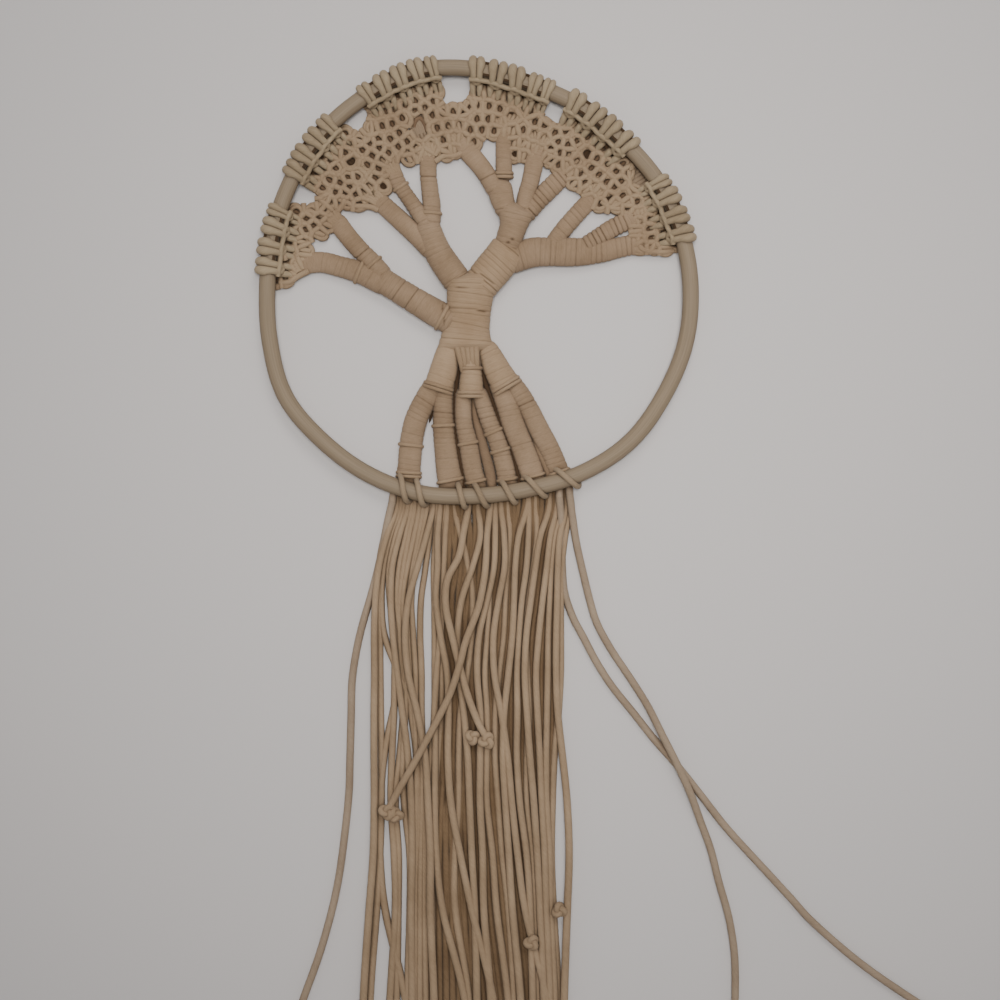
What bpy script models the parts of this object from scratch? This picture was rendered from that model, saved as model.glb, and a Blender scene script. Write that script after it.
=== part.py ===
"""A macrame tree in a wooden hoop, lying face up and flat.

+Z is up off the surface it lies on and +Y points to the top of the hoop. Places in the tables
are millimetres from the hoop's centre, rows run along the piece, and lengths elsewhere are metres.
"""
import math

import bmesh
import bpy
from mathutils import Matrix, Vector

MM = 0.001
GAP = 0.3 * MM                     # left between pieces that touch

# The hoop: a round wooden rod bent to a ring, a little out of round
HOOP_CENTRE = Vector((-0.00055, 0.1376))    # puts the origin under the middle of the piece
ROD_RADIUS = 3.7 * MM
HOOP_RADII = (                     # mm to the middle of the rod, every 15 degrees from +X
    97.0, 96.0, 95.0, 93.5, 94.0, 94.5, 98.0, 100.5, 99.0, 97.5, 95.5, 94.0,
    93.5, 95.5, 98.5, 97.5, 97.0, 96.0, 94.0, 94.0, 96.5, 98.5, 98.0, 98.0,
)
RADII_STEP = 15.0
HOOP_STEP = 5.0                    # degrees between the ring's sections

# The cord, and what it builds up to
CORD = 3.4 * MM
WRAP = 2.3 * MM                    # one turn of cord pulled flat on the rod
BAND_RADIUS = ROD_RADIUS + GAP + WRAP
HOOP_HEIGHT = BAND_RADIUS          # the knots under the rod lie on the surface
NET_THICKNESS = 4.6 * MM
SIDES = 8                          # of every wrapped piece's section, one side flat down

# Knots along the hoop: (name, first angle, last angle)
KNOT_BANDS = (
    ("knots_far_left", 157.5, 177.5),
    ("knots_left", 130.0, 150.0),
    ("knots_top_left", 98.5, 121.0),
    ("knots_top_right", 68.0, 92.0),
    ("knots_right", 40.5, 64.0),
    ("knots_far_right", 11.5, 31.5),
)
HITCHES = (
    ("hitch_1", 248.0, 254.2),
    ("hitch_2", 259.4, 266.2),
    ("hitch_3", 267.4, 273.2),
    ("hitch_4", 275.4, 280.9),
    ("hitch_5", 282.0, 288.4),
    ("hitch_6", 291.0, 297.4),
)

# Wrapped bundles, from the trunk outwards: height, then rows of (x, y, width) in mm.
# Each is cut to fit the ones above it in the table.
BUNDLES = {
    "trunk": (14, ((-3, 8.5, 21), (-2, -1.5, 23), (-3.5, -11, 22.5), (-4.5, -19.5, 23.5),
                   (-4, -25.5, 22.5))),
    "bough_low_left": (9, ((-43, 4, 11.5), (-33.5, -2, 11.5), (-24.5, -7.5, 12),
                           (-16, -12.5, 12.5), (-9.5, -16, 12.5))),
    "bough_high_left": (9, ((-20.5, 30, 11), (-19, 23, 11), (-15, 16, 11.5), (-10.5, 9, 12),
                            (-7, 3.5, 12))),
    "bough_right": (11, ((16.5, 18.5, 17), (13, 14, 17), (8.5, 8.5, 17), (4, 3, 16),
                         (0.5, -2, 15.5))),
    "bough_high_right": (9, ((20, 37.5, 19), (18.5, 33, 18), (16.5, 27.5, 15), (15.5, 22, 12),
                             (14.5, 16.5, 12))),
    "bough_low_right": (8.5, ((74, 20.5, 9), (70, 19.5, 9.5), (64.5, 18.5, 9.5), (56, 16.5, 11),
                              (45, 16, 13), (34, 16, 13), (25, 15.5, 13.5), (16, 12, 13.5))),
    "branch_far_left": (7, ((-74, 12, 9.5), (-68, 11.5, 9.5), (-61, 9.5, 9.5), (-52.5, 7, 10),
                            (-44.5, 3, 10), (-40, 1, 10))),
    "branch_near_left": (7, ((-62.5, 30, 9), (-58, 24, 8.5), (-52.5, 17.5, 8.5), (-47, 12, 8.5),
                             (-42, 7, 9))),
    "twig_left_1": (6.5, ((-43, 38, 8.5), (-37.5, 33, 8.5), (-32, 27.5, 8.5), (-26.5, 21.5, 9),
                          (-21, 16, 9))),
    "twig_left_2": (6.5, ((-35.5, 52, 8), (-32, 45.5, 8), (-28.5, 40, 8), (-24.5, 34, 8.5),
                          (-20, 27.5, 8))),
    "twig_left_3": (6.5, ((-21, 59.5, 9), (-21, 52, 8.5), (-20.5, 43.5, 8.5), (-20, 36.5, 9),
                          (-19.5, 29, 9))),
    "twig_right_stem": (7, ((11.5, 49, 7.5), (13.5, 43.5, 7.5), (15, 38, 7.5), (16, 34, 7.5))),
    "twig_right_1": (6.5, ((-6, 67, 9), (-0.5, 61.5, 9.5), (4.5, 56, 9.5), (9, 49.5, 8.5),
                           (12, 44.5, 8))),
    "twig_right_2": (6.5, ((13, 70.5, 7.5), (13, 63.5, 7.5), (13, 57, 7.5), (13, 50, 7.5))),
    "twig_right_3": (6.5, ((28, 62.5, 10), (26.5, 55, 8.5), (25, 48, 8), (23, 41, 8),
                           (21.5, 34.5, 8))),
    "twig_right_4": (6.5, ((41, 52, 9), (36.5, 47.5, 9), (32, 43, 9), (27, 37.5, 8.5),
                           (22.5, 32, 8.5))),
    "branch_low_right": (6.5, ((53.5, 41, 8), (49, 36.5, 8), (44, 31, 8), (39, 25, 8),
                               (35.5, 20, 8))),
    "branch_far_right": (6.5, ((74, 34, 8.5), (68, 30, 8.5), (61.5, 26.5, 8.5), (55.5, 22.5, 8.5),
                               (50, 19, 8.5))),
    "root_middle": (9.5, ((-2, -25, 8), (-2, -36.5, 9), (-2, -43.5, 11), (-2, -50, 12))),
    "root_left": (9.5, ((-9.5, -25, 9), (-11.5, -32, 10.5), (-15, -40, 11), (-17, -46.5, 11.5))),
    "root_right": (9.5, ((5, -25, 9), (8, -32, 10.5), (11.5, -39, 11), (15, -45.5, 11.5))),
    "foot_1": (7, ((-19, -43.5, 7.5), (-24.5, -53, 8), (-28, -61, 8), (-29.5, -70, 8),
                   (-30.5, -79, 8), (-31, -89.5, 8.5))),
    "foot_2": (7, ((-13, -44.5, 7.5), (-14.5, -57.5, 8.5), (-14.5, -69, 9), (-13, -79, 9.5),
                   (-11.5, -92, 10))),
    "foot_3": (7, ((-5.5, -47, 7), (-5, -60, 7.5), (-2.5, -70.5, 7.5), (-0.5, -82.5, 7.5),
                   (1, -92, 8))),
    "foot_4": (7, ((2, -47, 7), (6, -60, 7), (9.5, -69.5, 7), (11, -79, 7.5), (13.5, -92, 8))),
    "foot_5": (7, ((12, -42, 8), (16.5, -60, 10), (20, -69, 9.5), (23.5, -79, 9),
                   (25.5, -91.5, 9))),
    "foot_6": (7, ((19, -42, 8), (25, -52, 8.5), (29.5, -61.5, 9), (34.5, -72, 9), (40, -86, 9))),
}
UNDER_NET = ("branch", "twig_left_1", "twig_left_2", "twig_left_3", "twig_right_1",
             "twig_right_2", "twig_right_3", "twig_right_4", "bough_low_right")
LAP = 2.0 * MM                     # how far a bundle's tip runs in under the net's edge

# The leafy net: its outer edge follows the hoop and dips where the hoop is bare.
NET_FIRST_ANGLE, NET_LAST_ANGLE, NET_STEP = 177.0, 12.0, 3.0
NET_DIPS = (                       # (angle, half its width in degrees, depth in mm)
    (153.5, 5.5, 10.0),
    (125.0, 6.0, 8.5),
    (95.5, 6.5, 17.0),
    (66.0, 4.5, 7.0),
    (35.5, 5.5, 4.5),
)
NET_LOWER_EDGE = (                 # (x, y) in mm, right to left under the leaves
    (84, 16), (79, 18), (75.5, 24), (73, 27.5), (70, 33), (63, 35), (59, 37.5), (52.5, 40),
    (45.5, 42.5), (43, 46.5), (38, 51.5), (34.5, 55.5), (32, 57), (28, 61), (22, 57.5), (19, 61),
    (16.5, 66), (13, 70), (9.5, 70), (4, 69.5), (-2, 68), (-7, 62.5), (-8, 58.5), (-12, 57),
    (-16.5, 57), (-21, 59), (-25.5, 57), (-29, 55), (-31.5, 56), (-35.5, 52.5), (-38, 48),
    (-40, 44.5), (-43, 38), (-44, 34), (-46.5, 34.5), (-52, 36), (-58.5, 34.5), (-61.5, 30),
    (-64.5, 25.5), (-68.5, 23.5), (-72.5, 23), (-74.5, 20), (-75.5, 16), (-75.5, 9), (-78, 6.5),
    (-83, 3.5),
)
NET_POCKETS = (                    # gaps between leaves: (x, y, width, height, turn in degrees)
    (-56, 56, 9.0, 5.0, -20.0),
    (-24, 73, 6.5, 10.0, 0.0),
    (15.5, 75.5, 7.0, 6.0, 0.0),
)

# The fringe: a comb of cord bundles. Rows of (middle, width) in mm at each level below.
FRINGE_THICKNESS = 2 * CORD
FRINGE_FIRST_ANGLE, FRINGE_LAST_ANGLE = 250.6, 290.4
FRINGE_LEVELS = (-107, -128, -160, -222, -290, -321, -380)
FRINGE_TEETH = (
    ((-33.5, 3.5), (-39.5, 4), (-44, 4), (-43, 4), (-44.5, 4), (-49, 4), (-52, 4)),
    ((-29, 4), (-35, 4), (-38.5, 4), (-38, 4), (-38, 3.5), (-38, 4), (-39, 4)),
    ((-24.5, 4), (-29.5, 5.5), (-30, 9), (-30, 7), (-28, 5.5), (-26.5, 6.5), (-27.5, 6.5)),
    ((-18.5, 6.5), (-15.5, 7), (-15, 7), (-21, 10), (-20, 7), (-19, 7), (-20, 7)),
    ((-11, 7), (-7, 7), (-7, 8), (-11, 9), (-11.5, 7.5), (-11, 7), (-11.5, 7)),
    ((-2, 8.5), (1, 8), (2, 8), (-0.5, 10), (-2, 10), (-1.5, 10.5), (-2, 10.5)),
    ((7.5, 10), (10, 8.5), (11, 8), (9.5, 8.5), (8.5, 9.5), (10.5, 10), (10, 10)),
    ((18.5, 10), (19.5, 9), (20, 9), (19.5, 10), (19, 10), (21.5, 10), (21.5, 10)),
    ((28, 7), (29, 7), (29, 7.5), (29.5, 9), (29, 8), (31.5, 7), (31.5, 7)),
    ((34, 4), (34.75, 3.5), (37.5, 7), (39.5, 9), (40, 8), (39.5, 7), (39.5, 7)),
)

# Three long cords that lie loose beside the fringe: the angle where each leaves the hoop,
# then its route as (x, y, height of its middle) in mm
STRAY_ROUTES = {
    "stray_left": (248.9, 5.2, (
        (-39.5, -106, 3.6), (-41.5, -116, 2.2), (-44, -127.5, 1.75), (-47, -139, 1.75),
        (-50, -149, 1.75), (-53, -161, 1.75), (-55.5, -177, 1.75), (-56, -195, 1.75),
        (-56.5, -213, 1.75), (-57, -228.5, 1.75), (-59, -248, 1.75), (-61.5, -266, 1.75),
        (-65, -282.5, 1.75), (-70.5, -301.5, 1.75), (-77.5, -321, 1.75), (-83.5, -339, 1.75),
        (-89, -358, 1.75), (-92.5, -376, 1.75))),
    "stray_right_outer": (294.6, 5.2, (
        (44, -104, 3.4), (45.7, -115, 2.1), (48, -125.5, 1.75), (51.5, -140, 1.75),
        (55, -151.5, 1.75), (61.5, -163.5, 1.75), (70.5, -177, 1.75), (78, -189, 2.2),
        (84.5, -202, 4.4), (91.3, -215.5, 5.6), (97, -228, 4.4), (101.8, -241, 2.2),
        (106.5, -254, 1.75), (110, -268, 1.75), (114.5, -284, 1.75), (117, -299.5, 1.75),
        (117.5, -314, 1.75), (117, -330, 1.75), (115, -348, 1.75), (112, -366, 1.75),
        (109.5, -377, 1.75))),
    "stray_right_inner": (291.9, 5.2, (
        (38.8, -103, 3.4), (39.1, -113, 2.0), (39.3, -124, 1.75), (40.3, -137, 1.75),
        (44, -148.5, 1.75), (49, -158, 1.75), (54.5, -168.5, 1.75), (61.5, -179.5, 1.75),
        (71.5, -192, 1.75), (81, -204, 1.75), (91.5, -216, 1.75), (103, -230.5, 1.75),
        (114, -244.5, 1.75), (130, -262, 1.75), (142, -275, 1.75), (153, -287, 1.75),
        (174, -305, 1.75), (197, -321, 1.75), (209, -328, 1.75))),
}
STRAY_STEP = 9.0 * MM              # between the points of a cord's curve

CORD_COLOUR = (0.42, 0.32, 0.235, 1.0)
NET_COLOUR = (0.38, 0.285, 0.205, 1.0)
WOOD_COLOUR = (0.30, 0.235, 0.175, 1.0)


# ---------------------------------------------------------------- scene and materials

def clear_scene():
    for scene_object in list(bpy.data.objects):
        bpy.data.objects.remove(scene_object, do_unlink=True)


def new_collection(name):
    collection = bpy.data.collections.new(name)
    bpy.context.scene.collection.children.link(collection)
    return collection


def new_material(name, colour, roughness):
    material = bpy.data.materials.new(name)
    material.use_nodes = True
    shader = material.node_tree.nodes["Principled BSDF"]
    shader.inputs["Base Color"].default_value = colour
    shader.inputs["Roughness"].default_value = roughness
    material.diffuse_color = colour
    return material


def add_mesh_object(bm, name, collection, material=None):
    mesh = bpy.data.meshes.new(name)
    bmesh.ops.recalc_face_normals(bm, faces=bm.faces)
    bm.to_mesh(mesh)
    bm.free()
    mesh_object = bpy.data.objects.new(name, mesh)
    collection.objects.link(mesh_object)
    if material:
        mesh.materials.append(material)
    return mesh_object


def add_cutter(bm, name):
    cutter = add_mesh_object(bm, name, cutters)
    cutter.hide_render = True
    cutter.display_type = "WIRE"
    return cutter


# ---------------------------------------------------------------- shapes

def in_frame(x, y):
    """A place given in mm from the hoop's centre, as a point on the surface in metres."""
    return HOOP_CENTRE + Vector((x, y)) * MM


def smooth_between(before, start, end, after, t):
    """A smooth curve from start to end, also through the values on either side of them."""
    return 0.5 * (2 * start + (end - before) * t
                  + (2 * before - 5 * start + 4 * end - after) * t ** 2
                  + (3 * start - before - 3 * end + after) * t ** 3)


def ring_radius(degrees):
    position = degrees % 360.0 / RADII_STEP
    first = int(position)
    near = [HOOP_RADII[(first + shift) % len(HOOP_RADII)] for shift in (-1, 0, 1, 2)]
    return smooth_between(*near, position - first) * MM


def ring_point(degrees, offset=0.0):
    """A point on the out-of-round ring, moved outwards by offset."""
    reach = ring_radius(degrees) + offset
    angle = math.radians(degrees)
    return HOOP_CENTRE + Vector((math.cos(angle), math.sin(angle))) * reach


def facet_point(degrees):
    """A point on the straight stretch between two of the ring's sections."""
    first = math.floor(degrees / HOOP_STEP) * HOOP_STEP
    share = (degrees - first) / HOOP_STEP
    return ring_point(first).lerp(ring_point(first + HOOP_STEP), share)


def octagon(half_width, half_height):
    """Section corners (across, up), with flat sides at the bottom, top, left and right."""
    half_side = math.pi / SIDES
    stretch = 1.0 / math.cos(half_side)
    corners = []
    for index in range(SIDES):
        angle = (2 * index + 1) * half_side
        corners.append((half_width * stretch * math.cos(angle),
                        half_height * stretch * math.sin(angle)))
    return corners


def add_loop(bm, middle, across, height, half_width, half_height):
    """One section standing upright at a point of the surface, facing along its path."""
    loop = []
    for side, up in octagon(half_width, half_height):
        place = middle + across * side
        loop.append(bm.verts.new((place.x, place.y, height + up)))
    return loop


def join_loops(bm, loops, closed):
    pairs = list(zip(loops, loops[1:]))
    if closed:
        pairs.append((loops[-1], loops[0]))
    for near, far in pairs:
        for index in range(len(near)):
            following = (index + 1) % len(near)
            bm.faces.new((near[index], near[following], far[following], far[index]))


def ring_loops(bm, angles, radius):
    loops = []
    for degrees in angles:
        middle = facet_point(degrees)
        across = (middle - HOOP_CENTRE).normalized()
        loops.append(add_loop(bm, middle, across, HOOP_HEIGHT, radius, radius))
    return loops


def band_angles(first, last):
    """The two ends, and every section of the ring between them."""
    count = int(360.0 / HOOP_STEP)
    between = [step * HOOP_STEP for step in range(count) if first < step * HOOP_STEP < last]
    return [first] + between + [last]


def make_hoop():
    bm = bmesh.new()
    count = int(360.0 / HOOP_STEP)
    loops = ring_loops(bm, [step * HOOP_STEP for step in range(count)], ROD_RADIUS)
    join_loops(bm, loops, closed=True)
    return add_mesh_object(bm, "hoop", parts, wood)


def make_band(name, first, last):
    """Knots round the hoop: a sleeve open at both ends, with the rod running through it."""
    bm = bmesh.new()
    angles = band_angles(first, last)
    outer = ring_loops(bm, angles, BAND_RADIUS)
    inner = ring_loops(bm, angles, ROD_RADIUS + GAP)
    join_loops(bm, outer, closed=False)
    join_loops(bm, inner, closed=False)
    for end in (0, -1):
        join_loops(bm, [outer[end], inner[end]], closed=False)
    return add_mesh_object(bm, name, parts, knotted)


def bundle_rows(name, lap=0.0):
    rows = [(in_frame(x, y), width * MM) for x, y, width in BUNDLES[name][1]]
    if lap:
        tip, width = rows[0]
        outwards = (tip - rows[1][0]).normalized()
        rows[0] = (tip + outwards * lap, width)
    return rows


def bundle_solid(name, grow=0.0):
    """A wrapped bundle, flat underneath; grown on every side when it serves as a cutter."""
    height = BUNDLES[name][0] * MM
    rows = bundle_rows(name, LAP if name.startswith(UNDER_NET) else 0.0)
    middles = [middle for middle, width in rows]
    if grow:
        middles[0] = middles[0] + (middles[0] - middles[1]).normalized() * grow
        middles[-1] = middles[-1] + (middles[-1] - middles[-2]).normalized() * grow
    bm = bmesh.new()
    loops = []
    for index, middle in enumerate(middles):
        before = middles[max(index - 1, 0)]
        after = middles[min(index + 1, len(middles) - 1)]
        along = (after - before).normalized()
        across = Vector((-along.y, along.x))
        loops.append(add_loop(bm, middle, across, height / 2,
                              rows[index][1] / 2 + grow, height / 2 + grow))
    join_loops(bm, loops, closed=False)
    bm.faces.new(loops[0])
    bm.faces.new(loops[-1])
    return bm


def keep_largest_body(mesh_object):
    """Drops the crumbs that a cut can leave beside the piece itself."""
    bm = bmesh.new()
    bm.from_mesh(mesh_object.data)
    bmesh.ops.remove_doubles(bm, verts=bm.verts, dist=0.0005 * MM)
    bmesh.ops.dissolve_degenerate(bm, edges=bm.edges, dist=0.0005 * MM)
    unseen = set(bm.verts)
    bodies = []
    while unseen:
        body, edge_of_body = set(), [unseen.pop()]
        while edge_of_body:
            vertex = edge_of_body.pop()
            body.add(vertex)
            for edge in vertex.link_edges:
                neighbour = edge.other_vert(vertex)
                if neighbour in unseen:
                    unseen.discard(neighbour)
                    edge_of_body.append(neighbour)
        bodies.append(body)
    bodies.sort(key=len)
    crumbs = [vertex for body in bodies[:-1] for vertex in body]
    bmesh.ops.delete(bm, geom=crumbs, context="VERTS")
    bm.to_mesh(mesh_object.data)
    bm.free()


def boxes_meet(first, second):
    for axis in range(3):
        low_a = min(vertex.co[axis] for vertex in first.data.vertices)
        high_a = max(vertex.co[axis] for vertex in first.data.vertices)
        low_b = min(vertex.co[axis] for vertex in second.data.vertices)
        high_b = max(vertex.co[axis] for vertex in second.data.vertices)
        if high_a < low_b or high_b < low_a:
            return False
    return True


def cut_to_fit(piece, cutter_objects):
    """Takes every cutter that reaches the piece away from it, one after the other."""
    for cutter in cutter_objects:
        if not boxes_meet(piece, cutter):
            continue
        modifier = piece.modifiers.new("fit", "BOOLEAN")
        modifier.operation = "DIFFERENCE"
        modifier.object = cutter
        evaluated = piece.evaluated_get(bpy.context.evaluated_depsgraph_get())
        fitted = bpy.data.meshes.new_from_object(evaluated)
        piece.modifiers.clear()
        piece.data = fitted
        keep_largest_body(piece)


def make_bundles():
    """Every bundle in the table's order, each cut to fit those before it and the hoop."""
    bm = bmesh.new()
    arc = ring_loops(bm, band_angles(240.0, 305.0), BAND_RADIUS + GAP)
    join_loops(bm, arc, closed=False)
    bm.faces.new(arc[0])
    bm.faces.new(arc[-1])
    hoop_cutter = add_cutter(bm, "cutter_hoop_foot")
    earlier = [hoop_cutter]
    for name in BUNDLES:
        piece = add_mesh_object(bundle_solid(name), name, parts, wrapped)
        cut_to_fit(piece, earlier)
        earlier.append(add_cutter(bundle_solid(name, GAP), "cutter_" + name))
    return earlier


def dip_depth(degrees):
    """How far the net's edge falls back from the hoop where no knots hold it."""
    depth = 0.0
    for middle, half_width, deepest in NET_DIPS:
        share = abs(degrees - middle) / half_width
        if share < 1.0:
            depth = max(depth, deepest * MM * math.sqrt(1.0 - share * share))
    return depth


def extrude_outline(points, low, high):
    """A flat outline as a solid between two heights."""
    bm = bmesh.new()
    floor = [bm.verts.new((point.x, point.y, low)) for point in points]
    face = bm.faces.new(floor)
    raised = bmesh.ops.extrude_face_region(bm, geom=[face])
    lifted = [item for item in raised["geom"] if isinstance(item, bmesh.types.BMVert)]
    bmesh.ops.translate(bm, verts=lifted, vec=(0.0, 0.0, high - low))
    bmesh.ops.triangulate(bm, faces=[face for face in bm.faces if len(face.verts) > 4])
    return bm


def make_net(bundle_cutters):
    points = []
    degrees = NET_FIRST_ANGLE
    while degrees >= NET_LAST_ANGLE:
        inwards = -(BAND_RADIUS + GAP) - 0.2 * MM - dip_depth(degrees)
        points.append(ring_point(degrees, inwards))
        degrees -= NET_STEP
    points += [in_frame(x, y) for x, y in NET_LOWER_EDGE]
    net = add_mesh_object(extrude_outline(points, 0.0, NET_THICKNESS), "leaf_net", parts, netted)
    pockets = []
    for index, (x, y, width, height, turn) in enumerate(NET_POCKETS):
        bm = bmesh.new()
        bmesh.ops.create_cone(bm, cap_ends=True, segments=8, radius1=0.5, radius2=0.5, depth=1.0)
        bmesh.ops.scale(bm, vec=(width * MM, height * MM, 4 * NET_THICKNESS), verts=bm.verts)
        pocket = add_cutter(bm, "cutter_pocket_%d" % (index + 1))
        pocket.data.transform(pocket_matrix(x, y, turn))
        pockets.append(pocket)
    cut_to_fit(net, bundle_cutters + pockets)
    return net


def pocket_matrix(x, y, turn):
    place = in_frame(x, y)
    return Matrix.Translation((place.x, place.y, 0.0)) @ Matrix.Rotation(math.radians(turn), 4, "Z")


def make_fringe():
    """The comb: an arched heading under the hoop, then ten teeth of cords side by side."""
    points = []
    degrees = FRINGE_LAST_ANGLE
    while degrees > FRINGE_FIRST_ANGLE:
        points.append(ring_point(degrees, BAND_RADIUS + GAP + 0.2 * MM))
        degrees -= HOOP_STEP / 2
    points.append(ring_point(FRINGE_FIRST_ANGLE, BAND_RADIUS + GAP + 0.2 * MM))
    for tooth in FRINGE_TEETH:
        left = [in_frame(middle - width / 2, level)
                for (middle, width), level in zip(tooth, FRINGE_LEVELS)]
        right = [in_frame(middle + width / 2, level)
                 for (middle, width), level in zip(tooth, FRINGE_LEVELS)]
        points += left + right[::-1]
    return add_mesh_object(extrude_outline(points, 0.0, FRINGE_THICKNESS), "fringe", parts, hanging)


def smooth_route(route):
    """Points at even steps along a smooth curve through the route's own points."""
    padded = [2 * route[0] - route[1]] + route + [2 * route[-1] - route[-2]]
    dense = []
    for before, start, end, after in zip(padded, padded[1:], padded[2:], padded[3:]):
        for step in range(20):
            dense.append(smooth_between(before, start, end, after, step / 20))
    dense.append(route[-1])
    travelled = [0.0]
    for near, far in zip(dense, dense[1:]):
        travelled.append(travelled[-1] + (far - near).length)
    count = max(2, round(travelled[-1] / STRAY_STEP))
    points, index = [], 0
    for step in range(count + 1):
        target = travelled[-1] * step / count
        while index < len(dense) - 2 and travelled[index + 1] < target:
            index += 1
        share = (target - travelled[index]) / (travelled[index + 1] - travelled[index])
        points.append(dense[index].lerp(dense[index + 1], share))
    return points


def make_stray(name):
    angle, exit_height, rows = STRAY_ROUTES[name]
    start = ring_point(angle, BAND_RADIUS + GAP + 0.3 * MM)
    route = [Vector((start.x, start.y, exit_height * MM))]
    for x, y, height in rows:
        place = in_frame(x, y)
        route.append(Vector((place.x, place.y, height * MM)))
    points = smooth_route(route)
    curve = bpy.data.curves.new(name, "CURVE")
    curve.dimensions = "3D"
    curve.bevel_depth = CORD / 2
    curve.bevel_resolution = 2
    curve.use_fill_caps = True
    spline = curve.splines.new("POLY")
    spline.points.add(len(points) - 1)
    for spline_point, place in zip(spline.points, points):
        spline_point.co = (place.x, place.y, place.z, 1.0)
    curve.materials.append(hanging)
    stray = bpy.data.objects.new(name, curve)
    parts.objects.link(stray)
    return stray


clear_scene()
parts = new_collection("macrame_tree")
cutters = new_collection("cutters")
wood = new_material("Bare wood rod", WOOD_COLOUR, 0.55)
knotted = new_material("Cotton cord, knotted", CORD_COLOUR, 0.95)
wrapped = new_material("Cotton cord, wrapped", CORD_COLOUR, 0.95)
netted = new_material("Cotton cord, netted", NET_COLOUR, 0.95)
hanging = new_material("Cotton cord, loose", CORD_COLOUR, 0.95)

make_hoop()
for band_name, first_angle, last_angle in KNOT_BANDS + HITCHES:
    make_band(band_name, first_angle, last_angle)
bundle_cutters = make_bundles()
make_net(bundle_cutters[1:])
make_fringe()
for stray_name in STRAY_ROUTES:
    make_stray(stray_name)
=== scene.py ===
"""A macrame tree in a wooden hoop, lying face up on a pale floor.

Places in the tables are millimetres from the hoop's centre, as in the part's own source: +X is to
the tree's right, +Y to the top of the hoop, and heights are above the floor.
"""
import math
import random

import bpy
import bmesh
import numpy as np
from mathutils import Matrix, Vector
from mathutils.geometry import delaunay_2d_cdt


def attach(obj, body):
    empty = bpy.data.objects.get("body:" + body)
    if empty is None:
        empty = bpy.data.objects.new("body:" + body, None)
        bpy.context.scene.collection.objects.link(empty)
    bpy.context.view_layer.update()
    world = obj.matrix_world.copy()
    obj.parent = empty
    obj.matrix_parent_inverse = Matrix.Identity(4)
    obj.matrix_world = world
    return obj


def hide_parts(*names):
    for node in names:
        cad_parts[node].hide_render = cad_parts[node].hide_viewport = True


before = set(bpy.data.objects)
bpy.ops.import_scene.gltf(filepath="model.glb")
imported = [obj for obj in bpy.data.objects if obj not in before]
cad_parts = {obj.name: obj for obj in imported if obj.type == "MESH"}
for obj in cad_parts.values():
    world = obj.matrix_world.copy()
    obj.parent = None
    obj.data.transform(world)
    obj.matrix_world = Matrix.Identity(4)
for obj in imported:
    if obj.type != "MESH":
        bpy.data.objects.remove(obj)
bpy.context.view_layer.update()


# ---------------------------------------------------------------- camera, light and floor
# The piece is seen from straight above, a little right of the tree and well below the hoop's
# middle, so that the fringe runs out at the lower edge of the picture. A broad soft light comes
# from beyond the hoop, and a ceiling lamp makes a soft pool of light round the tree.

HOOP_X, HOOP_Y = -0.55, 137.6      # the hoop's centre in the frame
VIEW_X, VIEW_Y = 11.25, -95.85     # the middle of the picture, from the hoop's centre
VIEW_WIDTH = 450.0                 # of the picture, at the view's level
VIEW_LEVEL = 6.0                   # about the height of the rod
VIEW_HEIGHT = 1200.0               # of the camera above that level
SENSOR = 36.0
LAMP = (70, 60, 1700)              # the ceiling lamp
POOL = (55, -28)                   # the middle of its pool of light
POOL_RADIUS = 420
FLOOR_REACH = 3.0                  # metres each way


def at(x, y, z=0.0):
    """A place in mm from the hoop's centre, as a point of the frame in metres."""
    return Vector((x + HOOP_X, y + HOOP_Y, z)) * 0.001


def linear(hex_colour):
    """An sRGB hex colour as linear red, green, blue and alpha."""
    channels = [int(hex_colour[i:i + 2], 16) / 255 for i in (1, 3, 5)]
    return tuple(c / 12.92 if c < 0.04045 else ((c + 0.055) / 1.055) ** 2.4
                 for c in channels) + (1.0,)


def new_object(name, data):
    """An object for some data, in the scene."""
    thing = bpy.data.objects.new(name, data)
    bpy.context.scene.collection.objects.link(thing)
    return thing


def add_light(name, kind, place, target, **settings):
    """A light at a place in metres, pointing at a target."""
    light = bpy.data.lights.new(name, kind)
    for key, value in settings.items():
        setattr(light, key, value)
    lamp = new_object(name, light)
    lamp.location = place
    lamp.rotation_euler = (target - place).to_track_quat("-Z", "Y").to_euler()


def new_finish(name, settings):
    """A new material and its shader, which has a value for each setting."""
    material = bpy.data.materials.new(name)
    material.use_nodes = True
    shader = material.node_tree.nodes["Principled BSDF"]
    for key, value in settings.items():
        shader.inputs[key].default_value = value
    return material, shader


camera_data = bpy.data.cameras.new("camera")
camera_data.sensor_width = SENSOR
camera_data.lens = SENSOR * VIEW_HEIGHT / VIEW_WIDTH
camera = new_object("camera", camera_data)
camera.location = at(VIEW_X, VIEW_Y, VIEW_HEIGHT + VIEW_LEVEL)
bpy.context.scene.camera = camera

add_light("window", "AREA", Vector((0.2, 1.1, 1.3)), Vector((0.03, 0.08, 0.0)), shape="DISK",
          size=0.8, energy=8.6, color=(1.0, 0.985, 0.965))
add_light("ceiling_lamp", "SPOT", at(*LAMP), at(*POOL), spot_blend=1.0, shadow_soft_size=0.38,
          spot_size=2 * math.atan2(POOL_RADIUS, LAMP[2]), energy=168.0, color=(1.0, 0.985, 0.97))

world = bpy.data.worlds.new("room")
world.use_nodes = True
world.node_tree.nodes["Background"].inputs["Color"].default_value = (0.95, 0.96, 1.0, 1.0)
world.node_tree.nodes["Background"].inputs["Strength"].default_value = 0.34
bpy.context.scene.world = world

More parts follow.
